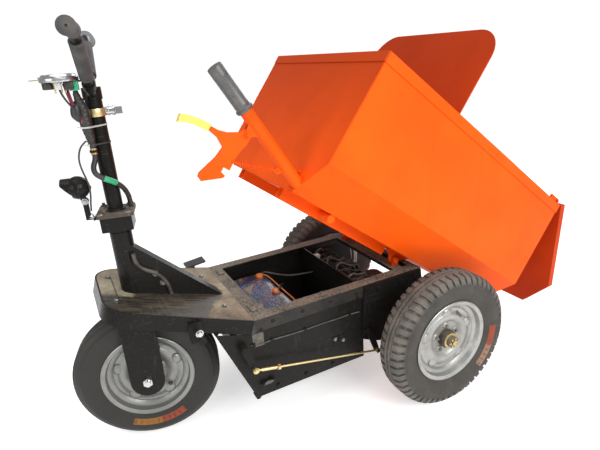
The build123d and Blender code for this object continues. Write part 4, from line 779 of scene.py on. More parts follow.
class WHEELBARROW_OT_tyres(PieceOperator, bpy.types.Operator):
    """Add the tyres: ribbed front tyre, block tread on the rear tyres."""

    bl_idname = "wheelbarrow.tyres"
    bl_label = "Tyres"

    def execute(self, context):
        wheels = settings().wheels
        red = (0.23, 0.045, 0.022)
        amber = (0.23, 0.095, 0.018)
        tan = (0.24, 0.135, 0.085)
        for name, joint, body, side, steered in WHEELS:
            centre = Vector(JOINT[joint]["pos_m"])
            bm = bmesh.new()
            low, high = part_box(name.replace("rear_", "rear_tyre_") if not steered else "front_tyre")
            radius = (high[2] - low[2]) / 2
            half = 0.046 if steered else (high[1] - low[1]) / 2
            if steered:
                ribs = ((0.0125, 0.0225), (0.0020, 0.0095), (-0.0095, -0.0020), (-0.0225, -0.0125))
                carcass(bm, centre, radius, half, wheels.groove * 0.7, 128, ribs)
                turn = about(centre, "Z", heading(joint))
                coat = tyre_rubber("front_tyre_rubber", tuple(wheels.rubber), centre, (0, 0, -heading(joint)),
                                   0.16, (0.157, 0.178, math.radians(-25), math.radians(33)), (amber, red))
            else:
                ribs = ((0.0035, 0.0125), (-0.0125, -0.0035))
                carcass(bm, centre, radius, half, wheels.groove, 132, ribs, 0.0035)
                pitch = math.tau / wheels.tread_pitches
                for k in range(wheels.tread_pitches):
                    for across in (1, -1):
                        shoulder = [(radius - 0.0002, 0.0165), (radius - 0.0010, 0.0290), (radius - 0.0045, 0.0400),
                                    (radius - 0.0140, 0.0485), (radius - 0.0260, 0.0530), (radius - 0.0310, 0.0500),
                                    (radius - 0.022, 0.0400), (radius - 0.012, 0.0165)]
                        section = [(r - 0.0006, a * across) for r, a in shoulder]
                        tread_block(bm, section, centre, pitch * (k + 0.25 * across), 0.0165, 0.14 * across)
                        middle = [(radius, 0.0030), (radius, 0.0130), (radius - 0.008, 0.0130),
                                  (radius - 0.008, 0.0030)]
                        section = [(r - 0.0008, a * across) for r, a in middle]
                        tread_block(bm, section, centre, pitch * (k + 0.5 + 0.25 * across), 0.0195, -0.45 * across)
                turn = None
                coat = tyre_rubber("%s_tyre_rubber" % name, tuple(wheels.rubber), centre, (0, 0, 0), 0.95,
                                   (0.159, 0.182, math.radians(41), math.radians(93)), (tan, red), side)
            node = "front_tyre" if steered else name.replace("rear_", "rear_tyre_")
            finished(bm, "tyre_%s" % name, coat, body, turn, (node,), 32.0)
        return {"FINISHED"}


def rim_outline(side):
    """The outer skin and the inner skin of the pressed rim, as (radius, along)."""
    skin = [(0.1365, 0.0420), (0.1390, 0.0405), (0.1388, 0.0385), (0.1360, 0.0375), (0.1300, 0.0352),
            (0.1283, 0.0330), (0.1268, 0.0240), (0.1255, 0.0215), (0.1110, 0.0160), (0.1083, 0.0135),
            (0.1080, 0.0)]
    far = [(r, -a) for r, a in reversed(skin[:-1])]
    inner = [(0.1330, -0.0420), (0.1325, -0.0395), (0.1250, -0.0365), (0.1225, -0.0215), (0.1060, -0.0140),
             (0.1055, 0.0075)]
    disc_back = [(0.1020, 0.0080), (0.0940, 0.0085), (0.0830, 0.0155), (0.0670, 0.0155), (0.0570, 0.0060),
                 (0.0300, 0.0060)]
    disc_front = [(0.0300, 0.0098), (0.0390, 0.0100), (0.0520, 0.0098), (0.0570, 0.0115), (0.0620, 0.0160),
                  (0.0680, 0.0192), (0.0750, 0.0202), (0.0830, 0.0196), (0.0890, 0.0160), (0.0950, 0.0132),
                  (0.1020, 0.0124), (0.1050, 0.0130)]
    outer = [(0.1062, 0.0150), (0.1080, 0.0172), (0.1215, 0.0222), (0.1232, 0.0250), (0.1252, 0.0365),
             (0.1262, 0.0380), (0.1325, 0.0402)]
    loop = skin + far + inner + disc_back + disc_front + outer
    return [(r, a if side > 0 else a) for r, a in loop]


class WHEELBARROW_OT_rims(PieceOperator, bpy.types.Operator):
    """Add the pressed rims with their bosses, nuts, valve and hub cap."""

    bl_idname = "wheelbarrow.rims"
    bl_label = "Rims"

    def execute(self, context):
        for name, joint, body, side, steered in WHEELS:
            centre = Vector(JOINT[joint]["pos_m"])
            turn = about(centre, "Z", heading(joint)) if steered else None
            angle = -heading(joint) if steered else 0.0
            shade = 0.62 if steered else 0.92
            coat = rim_paint("%s_rim_paint" % name, tuple(value * shade for value in settings().wheels.rim), centre,
                             (0, 0, angle))
            node = "front_rim" if steered else name.replace("rear_", "rear_rim_")
            bm = bmesh.new()
            spin_ring(bm, rim_outline(side), centre, 96, axis=Vector((0, side, 0)))
            for k in range(5):
                spoke = math.radians(90 + 72 * k)
                for radius, size, flat, along in ((0.0905, 0.0140, 0.50, 0.0140), (0.0435, 0.0130, 0.50, 0.0090)):
                    spot = centre + Vector((radius * math.cos(spoke), side * along, radius * math.sin(spoke)))
                    shape = Matrix.Translation(spot) @ Matrix.Rotation(-spoke, 4, "Y") @ Matrix.Diagonal(
                        (1.25 if radius > 0.08 else 1.0, flat, 1.35 if radius > 0.08 else 1.0, 1.0))
                    bmesh.ops.create_uvsphere(bm, u_segments=24, v_segments=14, radius=size, matrix=shape)
            finished(bm, "rim_%s" % name, coat, body, turn, (node,), 34.0)
            bm = bmesh.new()
            for k in range(5):
                spoke = math.radians(90 + 72 * k)
                foot = centre + Vector((0.0435 * math.cos(spoke), side * 0.0135, 0.0435 * math.sin(spoke)))
                hex_bolt(bm, foot, (0, side, 0), 0.0105, 0.0062, False, 0.004)
            bar_between(bm, centre + Vector((-0.0432, side * 0.012, 0.0812)),
                        centre + Vector((-0.0405, side * 0.032, 0.0762)), 0.0052, 0.0035)
            bar_between(bm, centre + Vector((-0.0405, side * 0.032, 0.0762)),
                        centre + Vector((-0.0395, side * 0.038, 0.0744)), 0.0042, 0.0040)
            finished(bm, "rim_nuts_%s" % name, finish("steel"), body, turn, (), 34.0)
            bm = bmesh.new()
            if steered:
                spot = centre + Vector((-0.058, 0.0185, -0.052))
                spin_ring(bm, [(0.0085, -0.004), (0.0085, 0.0028), (0.0105, 0.0036), (0.0125, 0.0020), (0.0128, -0.004)],
                          spot, 28)
                finished(bm, "rim_eyelet_front", coat, body, turn, (), 50.0)
                bm = bmesh.new()
                # Painted shade: a dark disc fills the eyelet, standing in for the shade inside the valve hole.
                bar_between(bm, spot + Vector((0, -0.003, 0)), spot + Vector((0, 0.0018, 0)), 0.0087, sides=24)
                finished(bm, "rim_eyelet_dark_front", finish("painted_hole_shade"), body, turn, (), 50.0)
            else:
                out = side
                spin_ring(bm, [(0.0, 0.0296), (0.0215, 0.0296), (0.0235, 0.0278), (0.0290, 0.0262), (0.0292, 0.0100),
                               (0.0, 0.0100)], centre, 48, axis=Vector((0, out, 0)), closed=False)
                finished(bm, "hub_cap_%s" % name, finish("grip"), body, None, (), 30.0)
        return {"FINISHED"}


class WHEELBARROW_OT_axle_nuts(PieceOperator, bpy.types.Operator):
    """Add the slotted axle nuts and their split pins."""

    bl_idname = "wheelbarrow.axle_nuts"
    bl_label = "Axle Nuts"

    def execute(self, context):
        for name, joint, body, side, steered in WHEELS:
            if steered:
                continue
            centre = Vector(JOINT[joint]["pos_m"])
            bm = bmesh.new()
            out = Vector((0, side, 0))
            foot = centre + out * 0.0345
            spin_ring(bm, [(0.0, -0.002), (0.0265, -0.002), (0.0262, 0.0015), (0.0245, 0.0025), (0.0, 0.0025)], foot,
                      40, axis=out, closed=False)
            hex_bolt(bm, foot, out, 0.0310, 0.0110, False)
            for k in range(6):
                step = math.tau * k / 6
                spot = foot + out * 0.0145 + Vector((math.cos(step), 0, math.sin(step))) * 0.0125
                block(bm, spot - Vector((0.0040, 0.0040, 0.0040)), spot + Vector((0.0040, 0.0022, 0.0040)), 0.0008)
            bar_between(bm, foot, foot + out * 0.0195, 0.0086, 0.0078, 24)
            pin = foot + out * 0.0148
            bar_between(bm, pin + Vector((-0.020, 0, 0.003)), pin + Vector((0.019, 0, -0.002)), 0.0012, sides=10)
            finished(bm, "axle_nut_%s" % name, finish("brass"), "chassis", None, (), 34.0)
        return {"FINISHED"}


# ---- bucket details ----
def weld_run(bm, start, end, radius, seed, every=0.0042):
    """A weld bead: overlapping flattened drops from start to end."""
    picker = random.Random(seed)
    run = Vector(end) - Vector(start)
    count = max(2, int(run.length / every))
    for k in range(count):
        spot = Vector(start) + run * ((k + picker.uniform(-0.2, 0.2)) / (count - 1))
        size = radius * picker.uniform(0.85, 1.2)
        bmesh.ops.create_icosphere(bm, subdivisions=1, radius=size, matrix=Matrix.Translation(spot))


class WHEELBARROW_OT_bucket_welds(PieceOperator, bpy.types.Operator):
    """Add the bucket's weld beads and the welded foot of the handle."""

    bl_idname = "wheelbarrow.bucket_welds"
    bl_label = "Bucket Welds"

    def execute(self, context):
        bm = bmesh.new()
        for y in (-1, 1):
            weld_run(bm, place(563.4, 231 * y, 456.5), place(563.4, 329 * y, 562), 0.0026, 3 + y)
            weld_run(bm, place(563.2, 329.4 * y, 565), place(563.2, 329.4 * y, 855), 0.0024, 7 + y)
        weld_run(bm, place(567.4, 212, 462), place(567.4, 246, 462), 0.0030, 11)
        weld_run(bm, place(567.4, 210, 462), place(567.4, 210, 522), 0.0028, 12)
        weld_run(bm, place(560, -225, 455.0), place(560, 225, 455.0), 0.0024, 13)
        finished(bm, "bucket_weld_beads", finish("orange"), "bucket", TIPPED, (), 70.0, keep=True)
        bm = bmesh.new()
        for x, y, z in ((565.6, 224, 474), (565.6, 243, 474), (565.6, 224, 514)):
            hex_bolt(bm, place(x + 1.2, y, z), (1, 0, 0), 0.0110, 0.0055)
        finished(bm, "handle_foot_bolts", finish("orange"), "bucket", TIPPED, (), 34.0)
        return {"FINISHED"}


HANDLE_RISE = math.radians(21.5)


def on_handle(d, down=0.0, y=240.0):
    return place(563 + d * math.cos(HANDLE_RISE) + down * math.sin(HANDLE_RISE), y,
                 481 + d * math.sin(HANDLE_RISE) - down * math.cos(HANDLE_RISE))


class WHEELBARROW_OT_handle_grip(PieceOperator, bpy.types.Operator):
    """Add the ribbed rubber grip of the tipping handle."""

    bl_idname = "wheelbarrow.handle_grip"
    bl_label = "Handle Grip"

    def execute(self, context):
        start = on_handle(249)
        end = on_handle(376)
        line = end - start
        length = line.length
        bm = bmesh.new()
        outline = [(0.0171, 0.0), (0.0222, 0.0), (0.0232, 0.0018), (0.0232, 0.0062), (0.0218, 0.0078), (0.0198, 0.0095),
                   (0.0196, 0.0160), (0.0199, 0.0170), (0.0199, 0.0190), (0.0195, 0.0200), (0.0194, length - 0.030),
                   (0.0197, length - 0.028), (0.0197, length - 0.022), (0.0194, length - 0.020),
                   (0.0197, length - 0.004), (0.0188, length - 0.0010), (0.0170, length), (0.0040, length),
                   (0.0036, length - 0.0020), (0.0, length - 0.0020)]
        spin_ring(bm, outline, start, 56, axis=line, closed=False)
        finished(bm, "tipping_handle_grip", finish("glossy_grip"), "bucket", TIPPED, ("dump_grip",), 32.0)
        return {"FINISHED"}


class WHEELBARROW_OT_latch_spring(PieceOperator, bpy.types.Operator):
    """Add the latch's tension spring as a wound wire with hooked ends."""

    bl_idname = "wheelbarrow.latch_spring"
    bl_label = "Latch Spring"

    def execute(self, context):
        lug = place(563 + 70 * math.cos(HANDLE_RISE) + 23 * math.sin(HANDLE_RISE), 252,
                    481 + 70 * math.sin(HANDLE_RISE) - 23 * math.cos(HANDLE_RISE))
        pivot = on_handle(200, 33, 252)
        hook = pivot + Vector((0.002, 0, -0.078))
        run = lug - hook
        turns = 15
        points = [hook + Vector((0, -0.0072, 0)), hook + run * 0.03, hook + run * 0.10]
        side = Vector((0, 1, 0))
        up = run.normalized().cross(side).normalized()
        for k in range(turns * 12 + 1):
            angle = math.tau * k / 12
            share = 0.14 + 0.66 * k / (turns * 12)
            points.append(hook + run * share + side * 0.0055 * math.cos(angle) + up * 0.0055 * math.sin(angle))
        points += [hook + run * 0.86, hook + run * 0.97, lug + Vector((0, -0.004, 0)), lug + Vector((0, -0.017, 0))]
        bm = bmesh.new()
        hose(bm, smooth_line(points), 0.0014, 8)
        finished(bm, "latch_spring_wire", finish("orange"), "bucket", TIPPED, ("latch_spring",), 60.0)
        return {"FINISHED"}


# ---- steering column ----
class WHEELBARROW_OT_bar_grips(PieceOperator, bpy.types.Operator):
    """Add the handlebar's rubber grips and sleeves."""

    bl_idname = "wheelbarrow.bar_grips"
    bl_label = "Bar Grips"

    def execute(self, context):
        across = Vector((0, 1, 0))
        bm = bmesh.new()
        start = front(0, 223, 1204)
        length = 0.1265
        outline = [(0.0122, 0.0), (0.0172, 0.0), (0.0176, 0.0035), (0.0168, 0.0062)]
        along = 0.0090
        while along < length - 0.018:
            outline += [(0.0166, along), (0.0169, along + 0.0020), (0.0166, along + 0.0044), (0.0158, along + 0.0052)]
            along += 0.0064
        outline += [(0.0168, length - 0.0112), (0.0181, length - 0.0092), (0.0184, length - 0.0030),
                    (0.0178, length - 0.0008), (0.0164, length), (0.0030, length), (0.0026, length - 0.004),
                    (0.0, length - 0.004)]
        spin_ring(bm, outline, start, 48, axis=across, closed=False)
        rise = Vector((0, 200, 154)).normalized()
        for side in (1, -1):
            way = Vector((0, rise.y * side, rise.z))
            foot = front(0, 0, 1050) + way * (0.072 / rise.y)
            run = 0.104 / rise.y
            sleeve = [(0.0122, 0.0), (0.0155, 0.0), (0.0168, 0.0015), (0.0169, run - 0.002), (0.0155, run),
                      (0.0122, run)]
            spin_ring(bm, sleeve, foot, 32, axis=way)
        finished(bm, "left_grip_and_sleeves", finish("grip"), "steering", BAR_TURNED, ("bar_grips",), 32.0)
        bm = bmesh.new()
        start = front(0, -251.3, 1204)
        length = 0.0934
        outline = [(0.0122, 0.0), (0.0172, 0.0)]
        along = 0.0030
        while along < length - 0.008:
            outline += [(0.0178, along), (0.0180, along + 0.0020), (0.0178, along + 0.0044), (0.0170, along + 0.0052)]
            along += 0.0064
        outline += [(0.0172, length), (0.0122, length)]
        spin_ring(bm, outline, start, 40, axis=Vector((0, -1, 0)))
        finished(bm, "right_twist_grip", finish("grip"), "throttle", BAR_TURNED, ("grip_right",), 32.0)
        bm = bmesh.new()
        spin_ring(bm, [(0.0, 0.3478), (0.0165, 0.3478), (0.0192, 0.3488), (0.0219, 0.3497), (0.0219, 0.3519),
                       (0.0190, 0.3524), (0.0, 0.3516)], front(0, 0, 1204), 48, axis=Vector((0, -1, 0)), closed=False)
        finished(bm, "right_bar_end_plate", finish("chrome"), "steering", BAR_TURNED, (), 32.0)
        return {"FINISHED"}


class WHEELBARROW_OT_gauge(PieceOperator, bpy.types.Operator):
    """Add the plated gauge with its dial, brass lever, terminals and plugs."""

    bl_idname = "wheelbarrow.gauge"
    bl_label = "Gauge"

    def execute(self, context):
        centre = front(62, 67, 1101)
        up = Vector((0, 0, 1))
        bm = bmesh.new()
        spin_ring(bm, [(0.0, 0.0), (0.0400, 0.0), (0.0432, 0.0012), (0.0438, 0.0035), (0.0438, 0.0090),
                       (0.0425, 0.0112), (0.0400, 0.0122), (0.0378, 0.0158), (0.0352, 0.0176), (0.0330, 0.0176),
                       (0.0322, 0.0160), (0.0, 0.0160)], centre, 56, axis=up, closed=False)
        finished(bm, "gauge_bezel", finish("chrome"), "steering", BAR_TURNED, ("gauge_case",), 30.0)
        bm = bmesh.new()
        spin_ring(bm, [(0.0, 0.0178), (0.012, 0.0177), (0.024, 0.0172), (0.0318, 0.0162), (0.0318, 0.0159),
                       (0.0, 0.0159)], centre, 40, axis=up, closed=False)
        finished(bm, "gauge_window", finish("dial"), "steering", BAR_TURNED, (), 30.0)
        bm = bmesh.new()
        block(bm, centre + Vector((0.037, 0.004, 0.0058)), centre + Vector((0.0635, 0.0125, 0.0080)), 0.0008)
        bar_between(bm, centre + Vector((0.038, 0.0080, 0.0050)), centre + Vector((0.038, 0.0080, 0.0135)), 0.0052)
        bar_between(bm, centre + Vector((0.030, -0.012, 0.0080)), centre + Vector((0.030, -0.012, 0.0160)), 0.0046)
        for x, y in ((0.0, -0.014), (-0.010, -0.004), (0.012, 0.008)):
            foot = centre + Vector((x, y, 0))
            bar_between(bm, foot + Vector((0, 0, 0.001)), foot + Vector((0, 0, -0.026)), 0.0018, sides=10)
            hex_bolt(bm, foot + Vector((0, 0, -0.0005)), (0, 0, -1), 0.0075, 0.0035)
        finished(bm, "gauge_brass_parts", finish("brass"), "steering", BAR_TURNED, (), 34.0)
        bm = bmesh.new()
        spin_ring(bm, [(0.0, -0.016), (0.0110, -0.016), (0.0128, -0.0145), (0.0130, 0.0004), (0.0, 0.0004)],
                  centre + Vector((0.026, 0.004, 0)), 32, axis=up, closed=False)
        block(bm, centre + Vector((-0.030, 0.004, -0.019)), centre + Vector((-0.010, 0.018, 0.0004)), 0.0015)
        finished(bm, "gauge_pots", finish("sheath"), "steering", BAR_TURNED, (), 34.0)
        bm = bmesh.new()
        block(bm, centre + Vector((-0.004, 0.008, -0.0175)), centre + Vector((0.010, 0.024, 0.0002)), 0.0012)
        finished(bm, "gauge_white_plug", finish("nylon"), "steering", BAR_TURNED, (), 34.0)
        bm = bmesh.new()
        block(bm, centre + Vector((-0.040, -0.012, -0.0225)), centre + Vector((-0.018, 0.006, -0.0008)), 0.0010)
        finished(bm, "gauge_green_board", finish("green_tape"), "steering", BAR_TURNED, (), 34.0)
        return {"FINISHED"}


class WHEELBARROW_OT_key_barrel(PieceOperator, bpy.types.Operator):
    """Add the plated key barrel, its collar and the clamp's screw."""

    bl_idname = "wheelbarrow.key_barrel"
    bl_label = "Key Barrel"

    def execute(self, context):
        out = Vector((-1, 0, 0))
        start = front(-21, -4, 1018)
        bm = bmesh.new()
        spin_ring(bm, [(0.0102, 0.0), (0.0104, 0.008), (0.0122, 0.0085), (0.0122, 0.0115), (0.0104, 0.012),
                       (0.0104, 0.0200), (0.0124, 0.0205), (0.0124, 0.0255), (0.0108, 0.0272), (0.0050, 0.0276),
                       (0.0045, 0.0255), (0.0042, 0.0040)], start, 36, axis=out, closed=True)
        finished(bm, "key_barrel_plated", finish("chrome"), "steering", STEERED, (), 32.0)
        bm = bmesh.new()
        spin_ring(bm, [(0.0214, 0.0), (0.0262, 0.0), (0.0266, 0.001), (0.0266, 0.0188), (0.0262, 0.0200),
                       (0.0214, 0.0200)], front(0, 0, 1008), 48, axis=Vector((0, 0, 1)))
        block(bm, front(18, 16, 1010), front(30, 22, 1026), 0.0008)
        hex_bolt(bm, front(25, 22, 1018), (0, 1, 0), 0.0090, 0.0045)
        finished(bm, "key_clamp_band", finish("zinc"), "steering", STEERED, ("key_switch",), 34.0)
        return {"FINISHED"}


BUNDLE = ((28, 54, 1076, 6.4), (28, 51, 1067, 8.6), (27, 47, 1058, 10), (25.5, 42, 1044, 13.5), (24, 38, 1030, 16),
          (23, 36, 1012, 16.4), (22, 34, 992, 15.6), (21, 32, 974, 14.0), (20, 30, 955, 11.6), (19, 28, 934, 9.2))


class WHEELBARROW_OT_wiring_bundle(PieceOperator, bpy.types.Operator):
    """Add the taped wiring bundle with its overlapping turns and the red leads on it."""

    bl_idname = "wheelbarrow.wiring_bundle"
    bl_label = "Wiring Bundle"

    def execute(self, context):
        line = evenly([front(x, y, z) for x, y, z, r in BUNDLE], 0.0016)
        heights = [z / 1000 for x, y, z, r in BUNDLE]
        sizes = [r / 1000 for x, y, z, r in BUNDLE]
        bm = bmesh.new()
        rings = []
        sides = 28
        for index, (point, side, up) in enumerate(frames_along(line)):
            for k in range(len(heights) - 1):
                if heights[k] >= point.z >= heights[k + 1]:
                    share = (heights[k] - point.z) / (heights[k] - heights[k + 1])
                    size = sizes[k] + (sizes[k + 1] - sizes[k]) * share
            ring = []
            for k in range(sides):
                turn = math.tau * k / sides
                lap = ((point.z * 1000 / 11.0 + k / sides) % 1.0) * 0.0010
                lump = noise.noise(point * 60 + Vector((k * 0.3, 0, 0))) * 0.0009
                radius = size - 0.0012 + lap + lump
                ring.append(bm.verts.new(point + side * radius * math.cos(turn) + up * radius * math.sin(turn)))
            if rings:
                edges = [bm.edges.get(pair) or bm.edges.new(pair)
                         for row in (rings[-1], ring) for pair in zip(row, row[1:] + row[:1])]
                bmesh.ops.bridge_loops(bm, edges=edges)
            rings.append(ring)
        bm.faces.new(rings[0][::-1])
        bm.faces.new(rings[-1])
        finished(bm, "taped_wiring_bundle", finish("tape"), "steering", STEERED, ("wiring_bundle",), 30.0)
        bm = bmesh.new()
        lobe = evenly([front(31, 45, 1052), front(36, 48, 1036), front(38, 48, 1020), front(32, 43, 1002)], 0.002)
        whole = line_length(lobe)
        hose(bm, lobe, 0.0135, 24, lambda run: 0.30 + 0.70 * math.sin(math.pi * min(1.0, run / whole)) ** 0.6)
        finished(bm, "taped_wiring_lobe", finish("tape"), "steering", STEERED, (), 40.0)
        leads = (
            ("red_lead_a", "red_sheath", ((50, 62, 1096), (47, 62, 1078), (44, 60, 1058), (40, 55, 1036), (34, 51, 1014),
                                          (29, 46, 998))),
            ("red_lead_b", "red_sheath", ((46, 58, 1097), (43, 59, 1080), (40.5, 58, 1060), (37, 55, 1038), (31, 52, 1016),
                                          (26, 47.5, 1000))),
            ("dark_lead", "sheath", ((60, 72, 1090), (57, 71, 1074), (50, 68, 1056), (42, 60, 1040), (36, 53, 1024),
                                     (30, 48, 1006))),
        )
        for name, coat, points in leads:
            bm = bmesh.new()
            hose(bm, smooth_line([front(*point) for point in points]), 0.0025, 10)
            finished(bm, name, finish(coat), "steering", STEERED, (), 60.0)
        bm = bmesh.new()
        for z, x, y, r in ((986, 22, 34, 15.5), (940, 19.3, 28.6, 10.4)):
            head = front(x + r * 0.72, y + r * 0.72, z)
            block(bm, head - Vector((0.0030, 0.0030, 0.0026)), head + Vector((0.0030, 0.0030, 0.0026)), 0.0006)
            bar_between(bm, head, head + Vector((0.009, 0.010, 0.004)), 0.0011, 0.0009, 8)
        finished(bm, "cable_tie_heads", finish("nylon"), "steering", STEERED, (), 34.0)
        bm = bmesh.new()
        spin_ring(bm, [(0.0040, 0.0), (0.0084, 0.0), (0.0086, 0.002), (0.0086, 0.0055), (0.0106, 0.0062),
                       (0.0110, 0.0080), (0.0106, 0.0118), (0.0086, 0.0125), (0.0086, 0.0170), (0.0040, 0.0180)],
                  front(19, 28, 914), 32, axis=Vector((0, 0, 1)))
        finished(bm, "conduit_gland_brass", finish("brass"), "steering", STEERED, (), 32.0)
        return {"FINISHED"}


CONDUIT = ((19, 28, 913), (20, 29, 900), (28, 37, 884), (26, 45, 868), (12, 48, 856), (-5, 43, 846), (-21, 28, 832),
           (-32, 10, 814), (-38, -5, 793), (-40, -12, 772), (-40, -13, 752.5))
LAMP_LEAD = ((30.5, 38, 952), (43, 46, 944), (52, 53, 925), (55, 56, 903), (52, 56, 880), (46, 58, 857), (43, 59, 834),
             (45, 59, 811), (50, 58, 790), (52, 55, 772))


def cord_tube(name, points, radius, coat, body, node, turn, ridge=0.0, pitch=0.004):
    """A cord as a mesh tube round its own smooth line; the line is turned with it."""
    line = smooth_line([turn @ point if turn else point for point in points])
    line = evenly(line, pitch / 4 if ridge else 0.004)
    bm = bmesh.new()
    swell = (lambda run: 1.0 - ridge + ridge * abs(math.sin(math.pi * run / pitch))) if ridge else None
    hose(bm, line, radius, 16, swell)
    piece = finished(bm, name, finish(coat), body, None, (node,), 60.0)
    line_length(line)
    return line


class WHEELBARROW_OT_column_leads(PieceOperator, bpy.types.Operator):
    """Add the corrugated conduit with its green tape and the lamp's thin lead."""

    bl_idname = "wheelbarrow.column_leads"
    bl_label = "Column Leads"

    def execute(self, context):
        line = cord_tube("column_conduit_tube", [front(*point) for point in CONDUIT], 0.0070, "sheath",
                         "steering", "column_conduit", STEERED, 0.05, 0.0036)
        start = int(len(line) * 0.36)
        end = int(len(line) * 0.53)
        bm = bmesh.new()
        hose(bm, line[start:end:3], 0.0078, 20, lambda run: 1.0 + 0.025 * ((run / 0.0075) % 1.0))
        finished(bm, "conduit_green_tape", finish("green_tape"), "steering", None, (), 32.0)
        cord_tube("lamp_lead_tube", [front(*point) for point in LAMP_LEAD], 0.0022, "sheath", "steering",
                  "lamp_wire", STEERED)
        return {"FINISHED"}


class WHEELBARROW_OT_lamp_details(PieceOperator, bpy.types.Operator):
    """Add the lamp's plated bracket bolts and its rear seam."""

    bl_idname = "wheelbarrow.lamp_details"
    bl_label = "Lamp Details"

    def execute(self, context):
        centre = front(74, 46, 836)
        bm = bmesh.new()
        hinge = front(64, 46, 798)
        hex_bolt(bm, hinge + Vector((0, 0.0068, 0)), (0, 1, 0), 0.0110, 0.0050, True, 0.003)
        hex_bolt(bm, hinge + Vector((0, -0.0068, 0)), (0, -1, 0), 0.0110, 0.0050)
        hex_bolt(bm, front(57, 43, 750.2), (0, 0, 1), 0.0120, 0.0060, True, 0.004)
        finished(bm, "lamp_bracket_bolts", finish("chrome"), "steering", STEERED, (), 34.0)
        bm = bmesh.new()
        spin_ring(bm, [(0.0295, 0.0010), (0.0303, 0.0014), (0.0303, 0.0030), (0.0295, 0.0034)], centre, 56,
                  axis=Vector((1, 0, 0)))
        bar_between(bm, centre + Vector((-0.0285, 0, -0.004)), centre + Vector((-0.0315, 0, -0.0046)), 0.0060, 0.0048)
        finished(bm, "lamp_seam_ring", finish("clean_black"), "lamp", STEERED, (), 34.0)
        return {"FINISHED"}


class WHEELBARROW_OT_column_bolts(PieceOperator, bpy.types.Operator):
    """Add the bolts and split washers on the column's flange, the gusset and the deck."""

    bl_idname = "wheelbarrow.column_bolts"
    bl_label = "Column Bolts"

    def execute(self, context):
        bm = bmesh.new()
        for sx in (-1, 1):
            for sy in (-1, 1):
                spot = front(36 * sx, 36 * sy, 752.2)
                bar_between(bm, spot, spot + Vector((0, 0, 0.0022)), 0.0128, sides=28)
                bar_between(bm, spot + Vector((0, 0, 0.0022)), spot + Vector((0, 0, 0.0042)), 0.0098, sides=24)
        finished(bm, "flange_washers", finish("steel"), "steering", STEERED, (), 34.0)
        bm = bmesh.new()
        for x, z in ((790, 512), (806, 546)):
            hex_bolt(bm, place(x, 28, z), (0, 1, 0), 0.0115, 0.0058, True, 0.004)
        for x, y in ((640, 120), (640, -120), (930, 86), (930, -86)):
            slope = math.tan(math.radians(18))
            hex_bolt(bm, place(x, y, 408 + (x - 586) * slope + 0.2), (-0.309, 0, 0.951), 0.0130, 0.0060)
        finished(bm, "deck_bolts", finish("steel"), "chassis", None, (), 34.0)
        return {"FINISHED"}


# ---- chassis contents ----
class WHEELBARROW_OT_battery_pack(PieceOperator, bpy.types.Operator):
    """Add the film-wrapped battery pair, the terminal caps and the strap of orange."""

    bl_idname = "wheelbarrow.battery_pack"
    bl_label = "Battery Pack"

    def execute(self, context):
        bm = bmesh.new()
        block(bm, place(398, -169, 143.2), place(572, 169, 359), 0.012, segments=3)
        bmesh.ops.subdivide_edges(bm, edges=bm.edges, cuts=5, use_grid_fill=True)
        for dot in bm.verts:
            if dot.co.z > 0.16:
                fold = noise.noise(dot.co * 26) * 0.0022 + noise.noise(dot.co * 70) * 0.0010
                sag = -0.0045 if abs(dot.co.y) < 0.010 else 0.0
                dot.co += Vector((0, 0, fold + sag)) if dot.co.z > 0.34 else Vector((fold, 0, 0))
        finished(bm, "film_wrapped_batteries", finish("film"), "chassis", None, ("battery_left", "battery_right"),
                 45.0)
        bm = bmesh.new()
        for x, y, size in ((423, -134, 1.0), (423, 6, 0.8)):
            spot = place(x, y, 357)
            spin_ring(bm, [(0.0, 0.0), (0.0135 * size, 0.0), (0.0145 * size, 0.002), (0.0140 * size, 0.008),
                           (0.0110 * size, 0.0115), (0.0, 0.0125)], spot, 28, axis=Vector((0, 0, 1)), closed=False)
        hose(bm, smooth_line([place(*point) for point in ((423, -132, 366), (410, -122, 371), (400, -90, 366),
                                                         (399, -30, 364), (398, 40, 363), (396, 100, 362),
                                                         (393, 164, 350))]), 0.0024, 10)
        finished(bm, "orange_terminal_caps", finish("orange_cap"), "chassis", None, (), 34.0)
        bm = bmesh.new()
        for points in (((423, 6, 360), (408, 4, 370), (394, -6, 362), (384, -26, 340), (380, -60, 318), (372, -110, 308),
                        (330, -140, 300)),
                       ((423, -134, 360), (405, -150, 368), (380, -140, 360), (330, -128, 340), (280, -120, 330),
                        (216, -100, 334))):
            hose(bm, smooth_line([place(*point) for point in points]), 0.0042, 12)
        finished(bm, "battery_leads", finish("sheath"), "chassis", None, (), 60.0)
        return {"FINISHED"}


